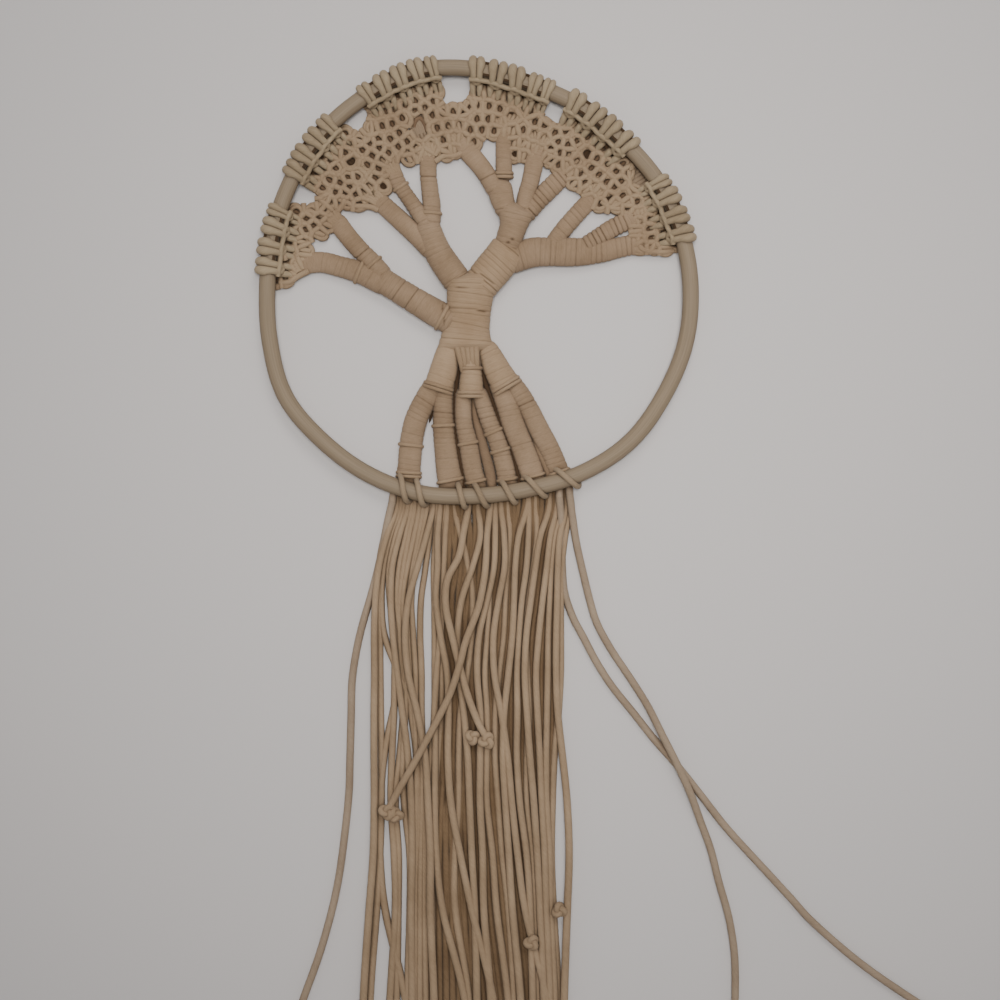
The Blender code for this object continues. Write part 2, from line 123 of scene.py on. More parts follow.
# Floor: a plain painted board, matte, with no pattern
paint = new_finish("matte_paint_pale_grey", {"Base Color": linear("#c9c4c1"), "Roughness": 0.9,
                                             "Specular IOR Level": 0.1})[0]
grid = bmesh.new()
bmesh.ops.create_grid(grid, x_segments=1, y_segments=1, size=FLOOR_REACH)
floor_mesh = bpy.data.meshes.new("floor")
grid.to_mesh(floor_mesh)
grid.free()
floor_mesh.materials.append(paint)
new_object("floor", floor_mesh)


# ---------------------------------------------------------------- loose side cords
# Three lengths of soft cotton cord, loosely twisted and matte. Each comes out from under the
# foot of the hoop and lies on the floor beside the fringe.

CORD_RADIUS = 1.7                  # mm, of the cord that all the piece is made of
CORD_SIDES = 10
CORD_STEP = 0.7                    # mm between a cord's rings, where it bends tightly
SPAN_PARTS = 20                    # parts that a route's spans are cut into, to measure them
# Painted shade: a narrow gap's colour is darkened towards a brown, the more the closer it is
GAP_REACH = 0.005                  # metres; a gap narrower than this gets painted shade
PAINTED_GAP_SHADE = "#3a2818"
GAP_SHUT, GAP_OPEN = 0.12, 0.72    # the painted shade is darkest at this openness, and none at this one
PLIES = 3
PLY_LENGTH = 13.0                  # mm in which a ply goes once round its cord
NOISE_LOW = 0.34                   # most of a noise texture's values lie between these
NOISE_HIGH = 0.66
COTTON = {                         # dull, with a dry fuzz that is pale at the edges
    "Roughness": 0.95, "Specular IOR Level": 0.15, "Sheen Weight": 0.12, "Sheen Roughness": 0.6,
    "Sheen Tint": linear("#e8dccb"),
}


def add_node(tree, kind, inputs=None, **settings):
    """A node with its settings. An input gets a value, a socket or a node's first output."""
    node = tree.nodes.new(kind)
    for name, value in settings.items():
        setattr(node, name, value)
    for key, value in (inputs or {}).items():
        if isinstance(value, bpy.types.Node):
            value = value.outputs[0]
        if isinstance(value, bpy.types.NodeSocket):
            tree.links.new(value, node.inputs[key])
        else:
            node.inputs[key].default_value = value
    return node


def cord_nodes(sides):
    """Geometry nodes that lay a round cord along each spline.

    They keep where each point is on it as an attribute: cosine and sine of the way round it,
    and the way along it in mm.
    """
    tree = bpy.data.node_groups.new("lay_cord", "GeometryNodeTree")
    tree.interface.new_socket("Line", in_out="INPUT", socket_type="NodeSocketGeometry")
    tree.interface.new_socket("Cord", in_out="OUTPUT", socket_type="NodeSocketGeometry")
    source = add_node(tree, "NodeGroupInput")
    place = add_node(tree, "GeometryNodeSplineParameter")
    line = add_node(tree, "GeometryNodeCaptureAttribute", {0: source}, domain="POINT")
    line.capture_items.new("FLOAT", "along")
    tree.links.new(place.outputs["Length"], line.inputs[1])
    circle = add_node(tree, "GeometryNodeCurvePrimitiveCircle", {"Resolution": sides,
                                                                 "Radius": 1.0})
    turn = add_node(tree, "ShaderNodeMath", {0: place.outputs["Factor"], 1: 2 * math.pi},
                    operation="MULTIPLY")
    profile = add_node(tree, "GeometryNodeCaptureAttribute", {0: circle}, domain="POINT")
    profile.capture_items.new("FLOAT", "turn")
    tree.links.new(turn.outputs[0], profile.inputs[1])
    radius = add_node(tree, "GeometryNodeInputRadius")
    tube = add_node(tree, "GeometryNodeCurveToMesh", {"Curve": line, "Profile Curve": profile,
                                                      "Scale": radius, "Fill Caps": True})
    cosine, sine = [add_node(tree, "ShaderNodeMath", {0: profile.outputs[1]}, operation=kind)
                    for kind in ("COSINE", "SINE")]
    along = add_node(tree, "ShaderNodeMath", {0: line.outputs[1], 1: 1000.0},
                     operation="MULTIPLY")
    lay = add_node(tree, "ShaderNodeCombineXYZ", {0: cosine, 1: sine, 2: along})
    stored = add_node(tree, "GeometryNodeStoreNamedAttribute",
                      {"Geometry": tube, "Name": "lay", "Value": lay},
                      data_type="FLOAT_VECTOR", domain="POINT")
    smooth = add_node(tree, "GeometryNodeSetShadeSmooth", {0: stored})
    add_node(tree, "NodeGroupOutput", {0: smooth})
    return tree


def curve_mesh(name, curve, nodes=None):
    """The mesh that a curve makes, with its geometry nodes if there are any."""
    line = new_object(name + "_line", curve)
    if nodes:
        line.modifiers.new("lay", "NODES").node_group = nodes
    evaluated = line.evaluated_get(bpy.context.evaluated_depsgraph_get())
    mesh = bpy.data.meshes.new_from_object(evaluated)
    mesh.name = name
    bpy.data.objects.remove(line)
    return mesh


def add_spline(curve, points):
    """A line from point to point, as a part of a curve."""
    spline = curve.splines.new("POLY")
    spline.points.add(len(points) - 1)
    spline.points.foreach_set("co", [value for point in points for value in (*point, 1.0)])
    return spline


def lay_cords(name, routes, sides=CORD_SIDES):
    """One mesh of cords, each route a list of (point in metres, radius in metres)."""
    curve = bpy.data.curves.new(name, "CURVE")
    curve.dimensions = "3D"
    for route in routes:
        spline = add_spline(curve, [point for point, radius in route])
        spline.points.foreach_set("radius", [radius for point, radius in route])
    nodes = cord_nodes(sides)
    mesh = curve_mesh(name, curve, nodes)
    bpy.data.node_groups.remove(nodes)
    return mesh


def between(before, start, end, after, t):
    """The place at a share t of the way from start to end, on a smooth curve through all four."""
    return 0.5 * (2 * start + (end - before) * t
                  + (2 * before - 5 * start + 4 * end - after) * t ** 2
                  + (3 * start - before - 3 * end + after) * t ** 3)


def smooth_route(rows, step):
    """Points at even steps, about step apart, on a smooth curve through the rows."""
    rows = [Vector(row) for row in rows]
    padded = [2 * rows[0] - rows[1]] + rows + [2 * rows[-1] - rows[-2]]
    dense = [between(*four, part / SPAN_PARTS)
             for four in zip(padded, padded[1:], padded[2:], padded[3:])
             for part in range(SPAN_PARTS)]
    dense.append(rows[-1])
    travelled = [0.0]
    for near, far in zip(dense, dense[1:]):
        travelled.append(travelled[-1] + (far - near).length)
    count = max(2, round(travelled[-1] / step))
    points, index = [], 0
    for part in range(count + 1):
        target = travelled[-1] * part / count
        while index < len(dense) - 2 and travelled[index + 1] < target:
            index += 1
        share = (target - travelled[index]) / max(travelled[index + 1] - travelled[index], 1e-12)
        points.append(dense[index].lerp(dense[index + 1], share))
    return points


def cord_route(rows, radius, step=CORD_STEP):
    """A smooth route through rows of (x, y, height), with one radius, all in mm."""
    points = smooth_route([at(*row) for row in rows], step * 0.001)
    return [(p, radius * 0.001) for p in points]


def add_piece(name, mesh, finish, slot, *stands_for):
    """A piece on the frame's one body, with its finish and the nodes it replaces. Its slot is not
    used.
    """
    mesh.materials.append(finish)
    piece = new_object(name, mesh)
    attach(piece, "root")
    if stands_for:
        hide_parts(*stands_for)
    return piece


def add_cords(name, routes, finish, slot, *stands_for, sides=CORD_SIDES):
    """A piece made of cords."""
    return add_piece(name, lay_cords(name, routes, sides), finish, slot, *stands_for)


def surface(tree, shader, colour, gloom, height, strength, depth, shade=PAINTED_GAP_SHADE):
    """A shader's bumps and its colour, with painted shade: brown where narrow gaps get little
    light.
    """
    gap = add_node(tree, "ShaderNodeAmbientOcclusion",
                   {"Distance": GAP_REACH, "Color": (1.0, 1.0, 1.0, 1.0)}, samples=6)
    closed = add_node(tree, "ShaderNodeMapRange",
                      {0: gap.outputs["AO"], 1: GAP_SHUT, 2: GAP_OPEN, 3: gloom, 4: 0.0})
    shaded = add_node(tree, "ShaderNodeMix", {0: closed, 6: colour, 7: linear(shade)},
                      data_type="RGBA")
    tree.links.new(shaded.outputs[2], shader.inputs["Base Color"])
    bump = add_node(tree, "ShaderNodeBump", {"Strength": strength, "Distance": depth,
                                             "Height": height})
    tree.links.new(bump.outputs[0], shader.inputs["Normal"])


def cotton_tone(tree, fibres, patch_share, patch_scale, deep, pale):
    """Cotton's colour, from deep to pale with its fibre lines and with wider patches."""
    place = add_node(tree, "ShaderNodeTexCoord")
    patches = add_node(tree, "ShaderNodeTexNoise", {"Vector": place.outputs["Object"],
                                                    "Scale": patch_scale, "Detail": 2.0})
    tone = add_node(tree, "ShaderNodeMix", {0: patch_share, 2: fibres, 3: patches},
                    data_type="FLOAT")
    spread = add_node(tree, "ShaderNodeMapRange", {0: tone, 1: NOISE_LOW, 2: NOISE_HIGH})
    return add_node(tree, "ShaderNodeMix", {0: spread, 6: linear(deep), 7: linear(pale)},
                    data_type="RGBA").outputs[2]


def cotton(name, pale, deep, ply=1.0, gloom=0.9):
    """Soft matte cotton: three loosely twisted plies, fine fibre lines, a dry fuzz at the edges."""
    material, shader = new_finish(name, COTTON)
    tree = material.node_tree
    lay = add_node(tree, "ShaderNodeAttribute", attribute_name="lay")
    parts = add_node(tree, "ShaderNodeSeparateXYZ", {0: lay.outputs["Vector"]})
    angle = add_node(tree, "ShaderNodeMath", {0: parts.outputs[1], 1: parts.outputs[0]},
                     operation="ARCTAN2")
    # A rounded ridge for each ply: they lie 4.3 mm apart along the cord
    twist = add_node(tree, "ShaderNodeMath", {0: parts.outputs[2], 1: 2 * math.pi / PLY_LENGTH,
                                              2: angle}, operation="MULTIPLY_ADD")
    plies = add_node(tree, "ShaderNodeMath", {0: twist, 1: PLIES / 2}, operation="MULTIPLY")
    ridge = add_node(tree, "ShaderNodeMath", {0: plies}, operation="SINE")
    round_ridge = add_node(tree, "ShaderNodeMath", {0: ridge}, operation="ABSOLUTE")
    # Fibre lines follow the plies: about 0.15 mm across, drawn coarser to show, and 3 mm long
    cosine, sine = [add_node(tree, "ShaderNodeMath", {0: twist}, operation=kind)
                    for kind in ("COSINE", "SINE")]
    along = add_node(tree, "ShaderNodeMath", {0: parts.outputs[2], 1: 0.12},
                     operation="MULTIPLY")
    fibre_place = add_node(tree, "ShaderNodeCombineXYZ", {0: cosine, 1: sine, 2: along})
    fibres = add_node(tree, "ShaderNodeTexNoise", {"Vector": fibre_place, "Scale": 4.5,
                                                   "Detail": 4.0, "Roughness": 0.65})
    height = add_node(tree, "ShaderNodeMath", {0: round_ridge, 1: 0.7 * ply, 2: fibres},
                      operation="MULTIPLY_ADD")
    surface(tree, shader, cotton_tone(tree, fibres, 0.5, 55.0, deep, pale), gloom,
            height, strength=0.35, depth=0.0004)
    return material


loose_cotton = cotton("cotton_cord_loose", "#a08d78", "#86735f")

STRAY_STEP = 3.0                   # mm between a cord's rings
ON_FLOOR = 1.75                    # height of the middle of a cord that lies on the floor
STRAYS = {                         # name: rows of (x, y, height of its middle unless on the floor)
    "stray_left": (
        (-37.2, -96.5, 5.2), (-39.5, -106, 3.6), (-41.5, -116, 2.2), (-44, -127.5), (-47, -139),
        (-50, -149), (-53, -161), (-55.5, -177), (-56, -195), (-56.5, -213), (-57, -228.5),
        (-59, -248), (-61.5, -266), (-65, -282.5), (-70.5, -301.5), (-77.5, -321),
        (-83.5, -339), (-89, -358), (-92.5, -376)),
    "stray_right_outer": (
        (42.6, -93.1, 5.2), (44, -104, 3.4), (45.7, -115, 2.1), (48, -125.5), (51.5, -140),
        (55, -151.5), (61.5, -163.5), (70.5, -177), (78, -189, 2.2), (84.5, -202, 4.4),
        (91.3, -215.5, 5.6), (97, -228, 4.4), (101.8, -241, 2.2), (106.5, -254), (110, -268),
        (114.5, -284), (117, -299.5), (117.5, -314), (117, -330), (115, -348), (112, -366),
        (109.5, -377)),
    "stray_right_inner": (
        (38.0, -94.6, 5.2), (38.8, -103, 3.4), (39.1, -113, 2.0), (39.3, -124), (40.3, -137),
        (44, -148.5), (49, -158), (54.5, -168.5), (61.5, -179.5), (71.5, -192), (81, -204),
        (91.5, -216), (103, -230.5), (114, -244.5), (130, -262), (142, -275), (153, -287),
        (174, -305), (197, -321), (209, -328)),
}
STRAY_STARTS = (                   # each one's first stretch, from under the hoop
    ((-36.2, -87.5, 1.8), (-36.5, -91, 2.8), (-37.0, -94, 4.4), (-37.4, -98, 5.0)),
    ((42.0, -86.5, 1.8), (42.3, -89.5, 3.3), (42.5, -92, 4.8), (42.9, -96, 4.9)),
    ((38.2, -88.0, 1.8), (38.1, -91, 3.3), (38.0, -93.5, 4.8), (38.1, -97, 4.8)),
)
add_cords("stray_starts", [cord_route(rows, CORD_RADIUS, STRAY_STEP) for rows in STRAY_STARTS],
          loose_cotton, "loose_cord")
for name, rows in STRAYS.items():
    route = cord_route([(*row, ON_FLOOR)[:3] for row in rows], CORD_RADIUS, STRAY_STEP)
    piece = add_cords(name + "_cord", [route], loose_cotton, "loose_cord", name)


# ---------------------------------------------------------------- the wooden hoop
# A round rod of pale wood, steamed and bent to a ring a little out of round, sanded and left
# bare, so it is smooth and dull with fine grain along its length.

ROD_RADIUS = 3.7
ROD_HEIGHT = 6.3                   # of the rod's middle above the floor
HOOP_RADII = (                     # mm to the middle of the rod, every 15 degrees from +X
    97.0, 96.0, 95.0, 93.5, 94.0, 94.5, 98.0, 100.5, 99.0, 97.5, 95.5, 94.0,
    93.5, 95.5, 98.5, 97.5, 97.0, 96.0, 94.0, 94.0, 96.5, 98.5, 98.0, 98.0,
)
HOOP_POINTS = 240


def ring_radius(degrees):
    """The hoop's radius in mm, to the middle of the rod."""
    position = degrees % 360.0 / 15.0
    first = int(position)
    return between(*[HOOP_RADII[(first + k) % 24] for k in (-1, 0, 1, 2)], position - first)


def ring_place(degrees, outwards=0.0, height=ROD_HEIGHT):
    """A place on the ring in mm from its centre, moved outwards and set at a height."""
    radius = ring_radius(degrees) + outwards
    return (radius * math.cos(math.radians(degrees)), radius * math.sin(math.radians(degrees)),
            height)


curve = bpy.data.curves.new("hoop_line", "CURVE")
curve.dimensions = "3D"
curve.bevel_depth = ROD_RADIUS * 0.001
curve.bevel_resolution = 6
ring = [at(*ring_place(part * 360 / HOOP_POINTS)) for part in range(HOOP_POINTS)]
add_spline(curve, ring).use_cyclic_u = True
hoop_mesh = curve_mesh("hoop_rod", curve)
hoop_mesh.polygons.foreach_set("use_smooth", [True] * len(hoop_mesh.polygons))

wood, shader = new_finish("bare_sanded_wood", {"Roughness": 0.7, "Specular IOR Level": 0.3})
tree = wood.node_tree
uv = add_node(tree, "ShaderNodeUVMap", uv_map="UVMap")
# The grain runs along the rod: lines about 0.6 mm apart and some 40 mm long
grain_place = add_node(tree, "ShaderNodeMapping", {"Vector": uv, "Scale": (16.0, 38.0, 1.0)})
grain = add_node(tree, "ShaderNodeTexNoise", {"Vector": grain_place, "Scale": 1.0,
                                              "Detail": 3.0, "Roughness": 0.6})
grain_colour = add_node(tree, "ShaderNodeMix", {0: grain, 6: linear("#6f5f4b"),
                                                7: linear("#96856e")}, data_type="RGBA")
# Painted shade: the wood's colour is darkened to a deep brown in narrow gaps, as between knots
surface(tree, shader, grain_colour.outputs[2], 0.8, grain, strength=0.15, depth=0.0003,
        shade="#33261a")
add_piece("hoop_rod", hoop_mesh, wood, "bare_wood", "hoop")


# ---------------------------------------------------------------- wrapped trunk, boughs and roots
# Bundles of cord wound round and round with one more cord. The turns lie close and flat, so a
# limb is a smooth column with faint rings, and a crease here and there where a new cord starts.

TURN = 2.3                         # mm from one turn to the next
LIMBS = {                          # height at tip and foot, then rows of (x, y, width)
    "trunk": (13.5, 10.5, (
        (-2.5, 6.5, 19), (-2, 3.5, 20.5), (-2, -1.5, 21.5), (-2.5, -7, 20.5), (-3, -14, 19.8),
        (-3.7, -19, 21), (-4.1, -24, 23.5), (-4.1, -29.5, 27.5))),
    "bough_low_left": (8.5, 10.5, (
        (-44.5, 5, 11.5), (-33.5, -2, 11.5), (-24.5, -7.5, 12), (-16, -12.5, 12.5),
        (-8, -17, 12))),
    "bough_high_left": (8.5, 11, (
        (-22.3, 31, 10.5), (-20.5, 25.2, 11.3), (-17, 16.3, 12.3), (-11.3, 7.5, 13),
        (-6.5, 1, 13))),
    "bough_right": (11, 12.5, (
        (17, 19.5, 17), (13, 14, 17), (8.5, 8.5, 17), (4, 3, 16.5), (0.5, -2, 16))),
    "bough_high_right": (9, 10.5, (
        (20, 37.5, 19), (18.6, 34, 17), (17.3, 27.6, 12.6), (15.5, 22, 12), (14, 15, 12))),
    "bough_low_right": (3.6, 10, (
        (78, 19.3, 9.5), (71, 19.3, 9.5), (64.5, 18, 9.5), (56, 16.5, 11), (45, 16, 13),
        (34, 16, 13), (25, 15.5, 13.5), (12, 11, 13))),
    "branch_far_left": (3.6, 8.5, (
        (-81, 10, 9.5), (-70, 11.5, 9.5), (-61, 9.5, 9.5), (-52.5, 7, 10), (-44.5, 3, 10),
        (-39, 0, 9.5))),
    "branch_near_left": (3.6, 8, (
        (-64, 32, 9), (-58, 24, 8.5), (-52.5, 17.5, 8.5), (-47, 12, 8.5), (-40, 4, 9))),
    "twig_left_1": (3.6, 8.5, (
        (-45.5, 41, 8.5), (-38, 34.3, 8.5), (-30.5, 27.4, 8.8), (-24, 21.6, 9.5),
        (-18.5, 15, 9))),
    "twig_left_2": (3.6, 8.5, (
        (-37.5, 54, 7.5), (-34, 46.3, 7), (-29.4, 39.5, 7), (-24.5, 32.4, 7.5),
        (-20.5, 26.5, 8))),
    "twig_left_3": (3.6, 8.5, (
        (-21, 62, 8.2), (-21.2, 52, 7.7), (-20.3, 43.5, 7.8), (-19.6, 36.5, 8.3),
        (-20.3, 27, 9.5))),
    "twig_right_stem": (7, 8.5, (
        (12, 49.5, 8.5), (11.6, 45, 10.5), (12, 41, 11), (13.2, 37, 10), (14.5, 32, 9))),
    "twig_right_1": (3.6, 7.5, (
        (-8.5, 68.5, 9), (-2.5, 60.8, 9), (2.5, 54.8, 8.5), (6.6, 48.8, 8.5), (10.5, 42, 9))),
    "twig_right_2": (3.6, 6.5, (
        (13, 72.5, 8), (13, 63.5, 7.5), (13, 57, 7.5), (13, 48, 7.5))),
    "twig_right_3": (3.6, 7.5, (
        (28.5, 65, 10), (26.5, 55, 8.5), (25, 48, 8), (23, 41, 8), (21.5, 33, 8))),
    "twig_right_4": (3.6, 7.5, (
        (42.5, 53.5, 9), (36.5, 47.5, 9), (32, 43, 9), (27, 37.5, 8.5), (21.5, 31, 8.5))),
    "branch_low_right": (3.6, 7, (
        (55, 42.5, 8), (49, 36.5, 8), (44, 31, 8), (39, 25, 8), (34, 18, 8))),
    "branch_far_right": (3.6, 7, (
        (76, 35, 8.5), (68, 30, 8.5), (61.5, 26.5, 8.5), (55.5, 22.5, 8.5), (48, 17.5, 8.5))),
    "root_middle": (8.5, 9, (
        (-2.5, -25, 10), (-2.2, -30, 9.5), (-1.8, -36.5, 9.6), (-1.8, -43, 10.8),
        (-1.8, -49.5, 11.8))),
    "root_left": (8.5, 9, (
        (-10, -24.5, 10), (-12.2, -30, 11.3), (-14.3, -38, 12.6), (-16.6, -45.5, 13))),
    "root_right": (8.5, 9, (
        (3.2, -25, 9), (6.4, -30, 10.5), (10.4, -38, 12.3), (14.8, -45.5, 13.5))),
    "foot_1": (7.5, 6.5, (
        (-16, -41, 9), (-21, -48.5, 10.2), (-26.3, -59, 10.4), (-28.6, -69, 10.4),
        (-29.5, -78, 10.5), (-30, -87, 10.3), (-30, -95, 9.5))),
    "foot_2": (7.5, 6.5, (
        (-12.5, -40, 8), (-14.3, -50, 8.8), (-14.2, -63, 9.6), (-13.2, -74, 10.2), (-12, -83, 11),
        (-10.8, -89, 11.5), (-10.5, -97, 11))),
    "foot_3": (7.5, 6.5, (
        (-5.2, -45, 7.5), (-5.2, -60, 7.8), (-3, -70.5, 8.8), (-0.9, -82.5, 9), (0.7, -89, 9.4),
        (1.3, -97, 9))),
    "foot_4": (7.5, 6.5, (
        (1, -45, 7), (6.2, -60, 8), (10, -69.5, 8.4), (12.8, -79, 8.8), (14.8, -89, 9),
        (16, -97, 8.6))),
    "foot_5": (7.5, 6.5, (
        (9.5, -40, 9), (14.6, -53, 10.3), (17.4, -62, 10.6), (21.2, -71.5, 10.5),
        (24.6, -80.5, 10.8), (26.8, -88, 10.6), (28.2, -96, 9.8))),
    "foot_6": (7.5, 6.5, (
        (13, -39, 8.5), (19.5, -47, 9), (24.2, -54.6, 9), (28.7, -63.8, 9.4), (33.6, -73, 9.4),
        (37, -81, 9.4), (40, -89.5, 9.6))),
}
CREASES = {                        # short creases on top: (x, y) to (x, y), depth
    "trunk": (((-12, -9.7), (0, -10.2), 0.8), ((2, -11), (4.5, -11.4), 1.4),
              ((-8, -0.6), (-5, -0.8), 1.2), ((-1.5, -3.4), (-0.3, -3.7), 1.2)),
    "bough_right": (((2, 6), (8, 1.5), 1.1), ((-4, 6.5), (3, 2), 0.7)),
    "bough_low_left": (((-14.6, -8.5), (-13.6, -17), 1.2),),
    "bough_high_right": (((9, 37), (14, 36.8), 1.2), ((14, 19), (18, 22), 1.4)),
    "twig_left_1": (((-35, 44), (-30, 38), 0.9),),
    "foot_1": (((-35, -72), (-26, -71.5), 0.6),),
    "foot_2": (((-18, -63), (-10, -62.6), 0.8),),
    "foot_3": (((-7, -71), (1.5, -70.5), 0.8),),
}
# Deeper grooves also get more painted shade in their colour
RIDGED = {"branch_far_right": 2.4, "twig_right_4": 2.0, "branch_low_right": 1.5, "trunk": 1.3,
          "twig_left_2": 1.3, "bough_low_right": 1.5, "bough_right": 1.3,
          "foot_4": 1.3}           # limbs wound with a thicker or looser cord
LIMB_SIDES = 24
RINGS_PER_TURN = 8
TUBE_LEVEL = 5.0                   # mm, where a limb's tube is laid before it is shaped
GROOVE = 0.34                      # mm, the depth where a groove's value is 1
CREASE_WIDTH = 0.6                 # mm, each way
LOWEST = 0.02                      # mm above the floor


def near_end(distance, reach, power=2):
    """1 at a limb's end, falling to 0 at the reach from it."""
    return np.clip(1 - distance / reach, 0, 1) ** power


def end_shape(name, from_tip, from_foot):
    """The share of its size that a limb keeps near its ends, and how much lower it gets there."""
    narrow, low = 0.4 * near_end(from_foot, 3.5), 0.0
    if name.startswith("foot"):    # it goes on flat under the rod
        narrow, low = 0.0, 0.62 * np.clip(1.35 - from_foot / 9.0, 0, 1) ** 2
    elif name.startswith("root"):
        narrow = 0.12 * near_end(from_foot, 2.5)
    elif name == "trunk":
        narrow, low = 0.0, 0.35 * near_end(from_foot, 4.5, 1.5)
    return 1.0 - narrow - 0.45 * near_end(from_tip, 4.0), low


def thread_depth(lay, seed):
    """The depth at each place of the groove between turns. A few are nearly twice as deep."""
    chance = random.Random(seed)
    turn = lay[:, 2] / TURN + np.arctan2(lay[:, 1], lay[:, 0]) / (2 * np.pi) + 1.0
    depths = np.array([chance.uniform(0.3, 1.0) * (1.9 if chance.random() < 0.08 else 1.0)
                       for each in range(int(turn.max()) + 4)])
    across = turn - np.floor(turn)
    nearest = np.floor(turn + 0.5).astype(int)
    return (1.0 - np.sqrt(1.0 - (0.97 * (2 * across - 1)) ** 2)) * depths[nearest]


def read_places(items, key):
    """A property of all the items, three numbers each, as an array with a row for each."""
    values = np.empty(len(items) * 3)
    items.foreach_get(key, values)
    return values.reshape(-1, 3)


def limb_mesh(name, seed):
    """A limb's tube, made oval and flat-bottomed, with a groove wound round it like a thread."""
    tip_height, foot_height, rows = LIMBS[name]
    points = smooth_route(rows, TURN / RINGS_PER_TURN)
    count = len(points) - 1
    mesh = lay_cords(name + "_wrapped", [[(at(x, y, TUBE_LEVEL), width * 0.0005)
                                          for x, y, width in points]], LIMB_SIDES)
    place = read_places(mesh.vertices, "co") * 1000.0
    lay = read_places(mesh.attributes["lay"].data, "vector")
    ring = np.clip(np.arange(len(place)) // LIMB_SIDES, 0, count)
    middle = np.array([(x + HOOP_X, y + HOOP_Y) for x, y, width in points])[ring]
    half_width = np.array([width / 2 for x, y, width in points])[ring]
    height = tip_height + (foot_height - tip_height) * ring / count
    drawn, low = end_shape(name, ring * TURN / RINGS_PER_TURN,
                           (count - ring) * TURN / RINGS_PER_TURN)
    groove = thread_depth(lay, seed) * RIDGED.get(name, 1.0)
    up = (place[:, 2] - TUBE_LEVEL) / half_width
    for (x1, y1), (x2, y2), depth in CREASES.get(name, ()):
        start = np.array((x1 + HOOP_X, y1 + HOOP_Y))
        run = np.array((x2 - x1, y2 - y1))
        share = np.clip(((place[:, :2] - start) @ run) / (run @ run), 0, 1)
        away = np.linalg.norm(place[:, :2] - start - share[:, None] * run, axis=1)
        crease = depth * np.clip(1 - (away / CREASE_WIDTH) ** 2, 0, 1) * (up > 0)
        groove = np.maximum(groove, crease)
    scale = 1.0 - GROOVE * groove / half_width
    place[:, :2] = middle + (place[:, :2] - middle) * (scale * drawn)[:, None]
    place[:, 2] = height / 2 * (1 + up * scale) * drawn * (1 - low)
    place[:, 2] = np.maximum(place[:, 2], LOWEST)
    mesh.vertices.foreach_set("co", (place * 0.001).ravel())
    mesh.attributes.new("groove", "FLOAT", "POINT").data.foreach_set(
        "value", np.clip(groove, 0, 2.0))
    mesh.update()
    return mesh


def wrapped_cotton(name, pale, deep, crease):
    """Cotton wound in close turns: fibres run round the limb, with painted shade in the creases."""
    material, shader = new_finish(name, COTTON)
    tree = material.node_tree
    lay = add_node(tree, "ShaderNodeAttribute", attribute_name="lay")
    # Fibres lie round the limb: short along it, long round it
    fibre_place = add_node(tree, "ShaderNodeMapping", {"Vector": lay.outputs["Vector"],
                                                       "Scale": (1.6, 1.6, 2.2)})
    fibres = add_node(tree, "ShaderNodeTexNoise", {"Vector": fibre_place, "Scale": 1.6,
                                                   "Detail": 4.0, "Roughness": 0.65})
    tone = cotton_tone(tree, fibres, 0.55, 60.0, deep, pale)
    groove = add_node(tree, "ShaderNodeAttribute", attribute_name="groove")
    # Painted shade in the grooves: a shallow groove keeps the cord's colour, the deepest have
    # four fifths of the crease's painted shade
    painted_crease_shade = add_node(tree, "ShaderNodeMapRange", {0: groove.outputs["Fac"], 1: 0.25, 2: 1.3,
                                                    3: 0.0, 4: 0.8})
    colour = add_node(tree, "ShaderNodeMix", {0: painted_crease_shade, 6: tone, 7: linear(crease)},
                      data_type="RGBA")
    surface(tree, shader, colour.outputs[2], 0.85, fibres, strength=0.3, depth=0.0003)
    return material


# The last colour of each is the painted shade in the creases between turns
limb_cotton = wrapped_cotton("cotton_cord_wrapped_thick", "#a38b70", "#8a7258", "#453222")
thin_limb_cotton = wrapped_cotton("cotton_cord_wrapped_thin", "#978068", "#7d6750", "#3f2d1e")
for seed, name in enumerate(LIMBS):
    thick_limb = name in ("trunk", "bough_right") or name.startswith("root")
    add_piece(name + "_wrapped", limb_mesh(name, seed),
              limb_cotton if thick_limb else thin_limb_cotton, "wrapped_cord", name)

COLLARS = (                        # end turns wound over a limb: its name, where, how many
    ("foot_1", -29.8, -83.5, 2), ("foot_2", -11.2, -87, 1), ("foot_3", 0.4, -87.5, 1),
    ("foot_4", 14.5, -86.5, 1), ("foot_5", 26.6, -85, 1), ("foot_6", 38.4, -83, 2),
    ("root_left", -16.6, -44.6, 2), ("root_middle", -1.8, -47.6, 2), ("root_right", 14.2, -43.8, 2),
    ("root_middle", -1.8, -36.4, 1),
    ("foot_4", 8.5, -65, 1), ("foot_4", 11.5, -73.4, 1), ("foot_3", -3, -70.5, 1),
    ("foot_2", -14.3, -62.5, 1), ("foot_1", -29, -71, 1), ("branch_near_left", -43.7, 12.4, 1),
    ("twig_left_2", -33, 46, 1), ("twig_left_3", -19.7, 33.5, 1), ("twig_right_2", 13, 51.3, 2),
    ("bough_low_left", -14.5, -13.4, 1), ("branch_far_left", -52, 7, 1),
)
COLLAR_RADIUS = 0.9                # mm, of a cord pulled tight
COLLAR_SPACING = 1.7               # mm from turn to turn
COLLAR_SINK = 0.1                  # mm that it sinks into the limb
COLLAR_PARTS = 14
# Cords from the trunk onto the middle root: x at top and foot, then rows that each of them has
# of share of the way from top to foot, y, height and radius
TRUNK_FOOT = ((-8.6, -5.6), (-6.2, -4.1), (-3.8, -2.4), (-1.6, -0.8), (0.4, 0.9))
TRUNK_FOOT_ROWS = (
    (-0.1, -22.6, 7.3, 1.7), (0.1, -25.2, 8.1, 1.7), (0.4, -29.5, 8.0, 1.5),
    (0.75, -34.0, 7.5, 1.3), (1.0, -38.0, 6.2, 1.0),
)


def varied_route(rows, step=CORD_STEP):
    """A smooth route through rows of (x, y, height, radius), all in mm."""
    rows = [(*at(x, y, height), radius * 0.001) for x, y, height, radius in rows]
    return [(p[:3], p[3]) for p in smooth_route(rows, step * 0.001)]


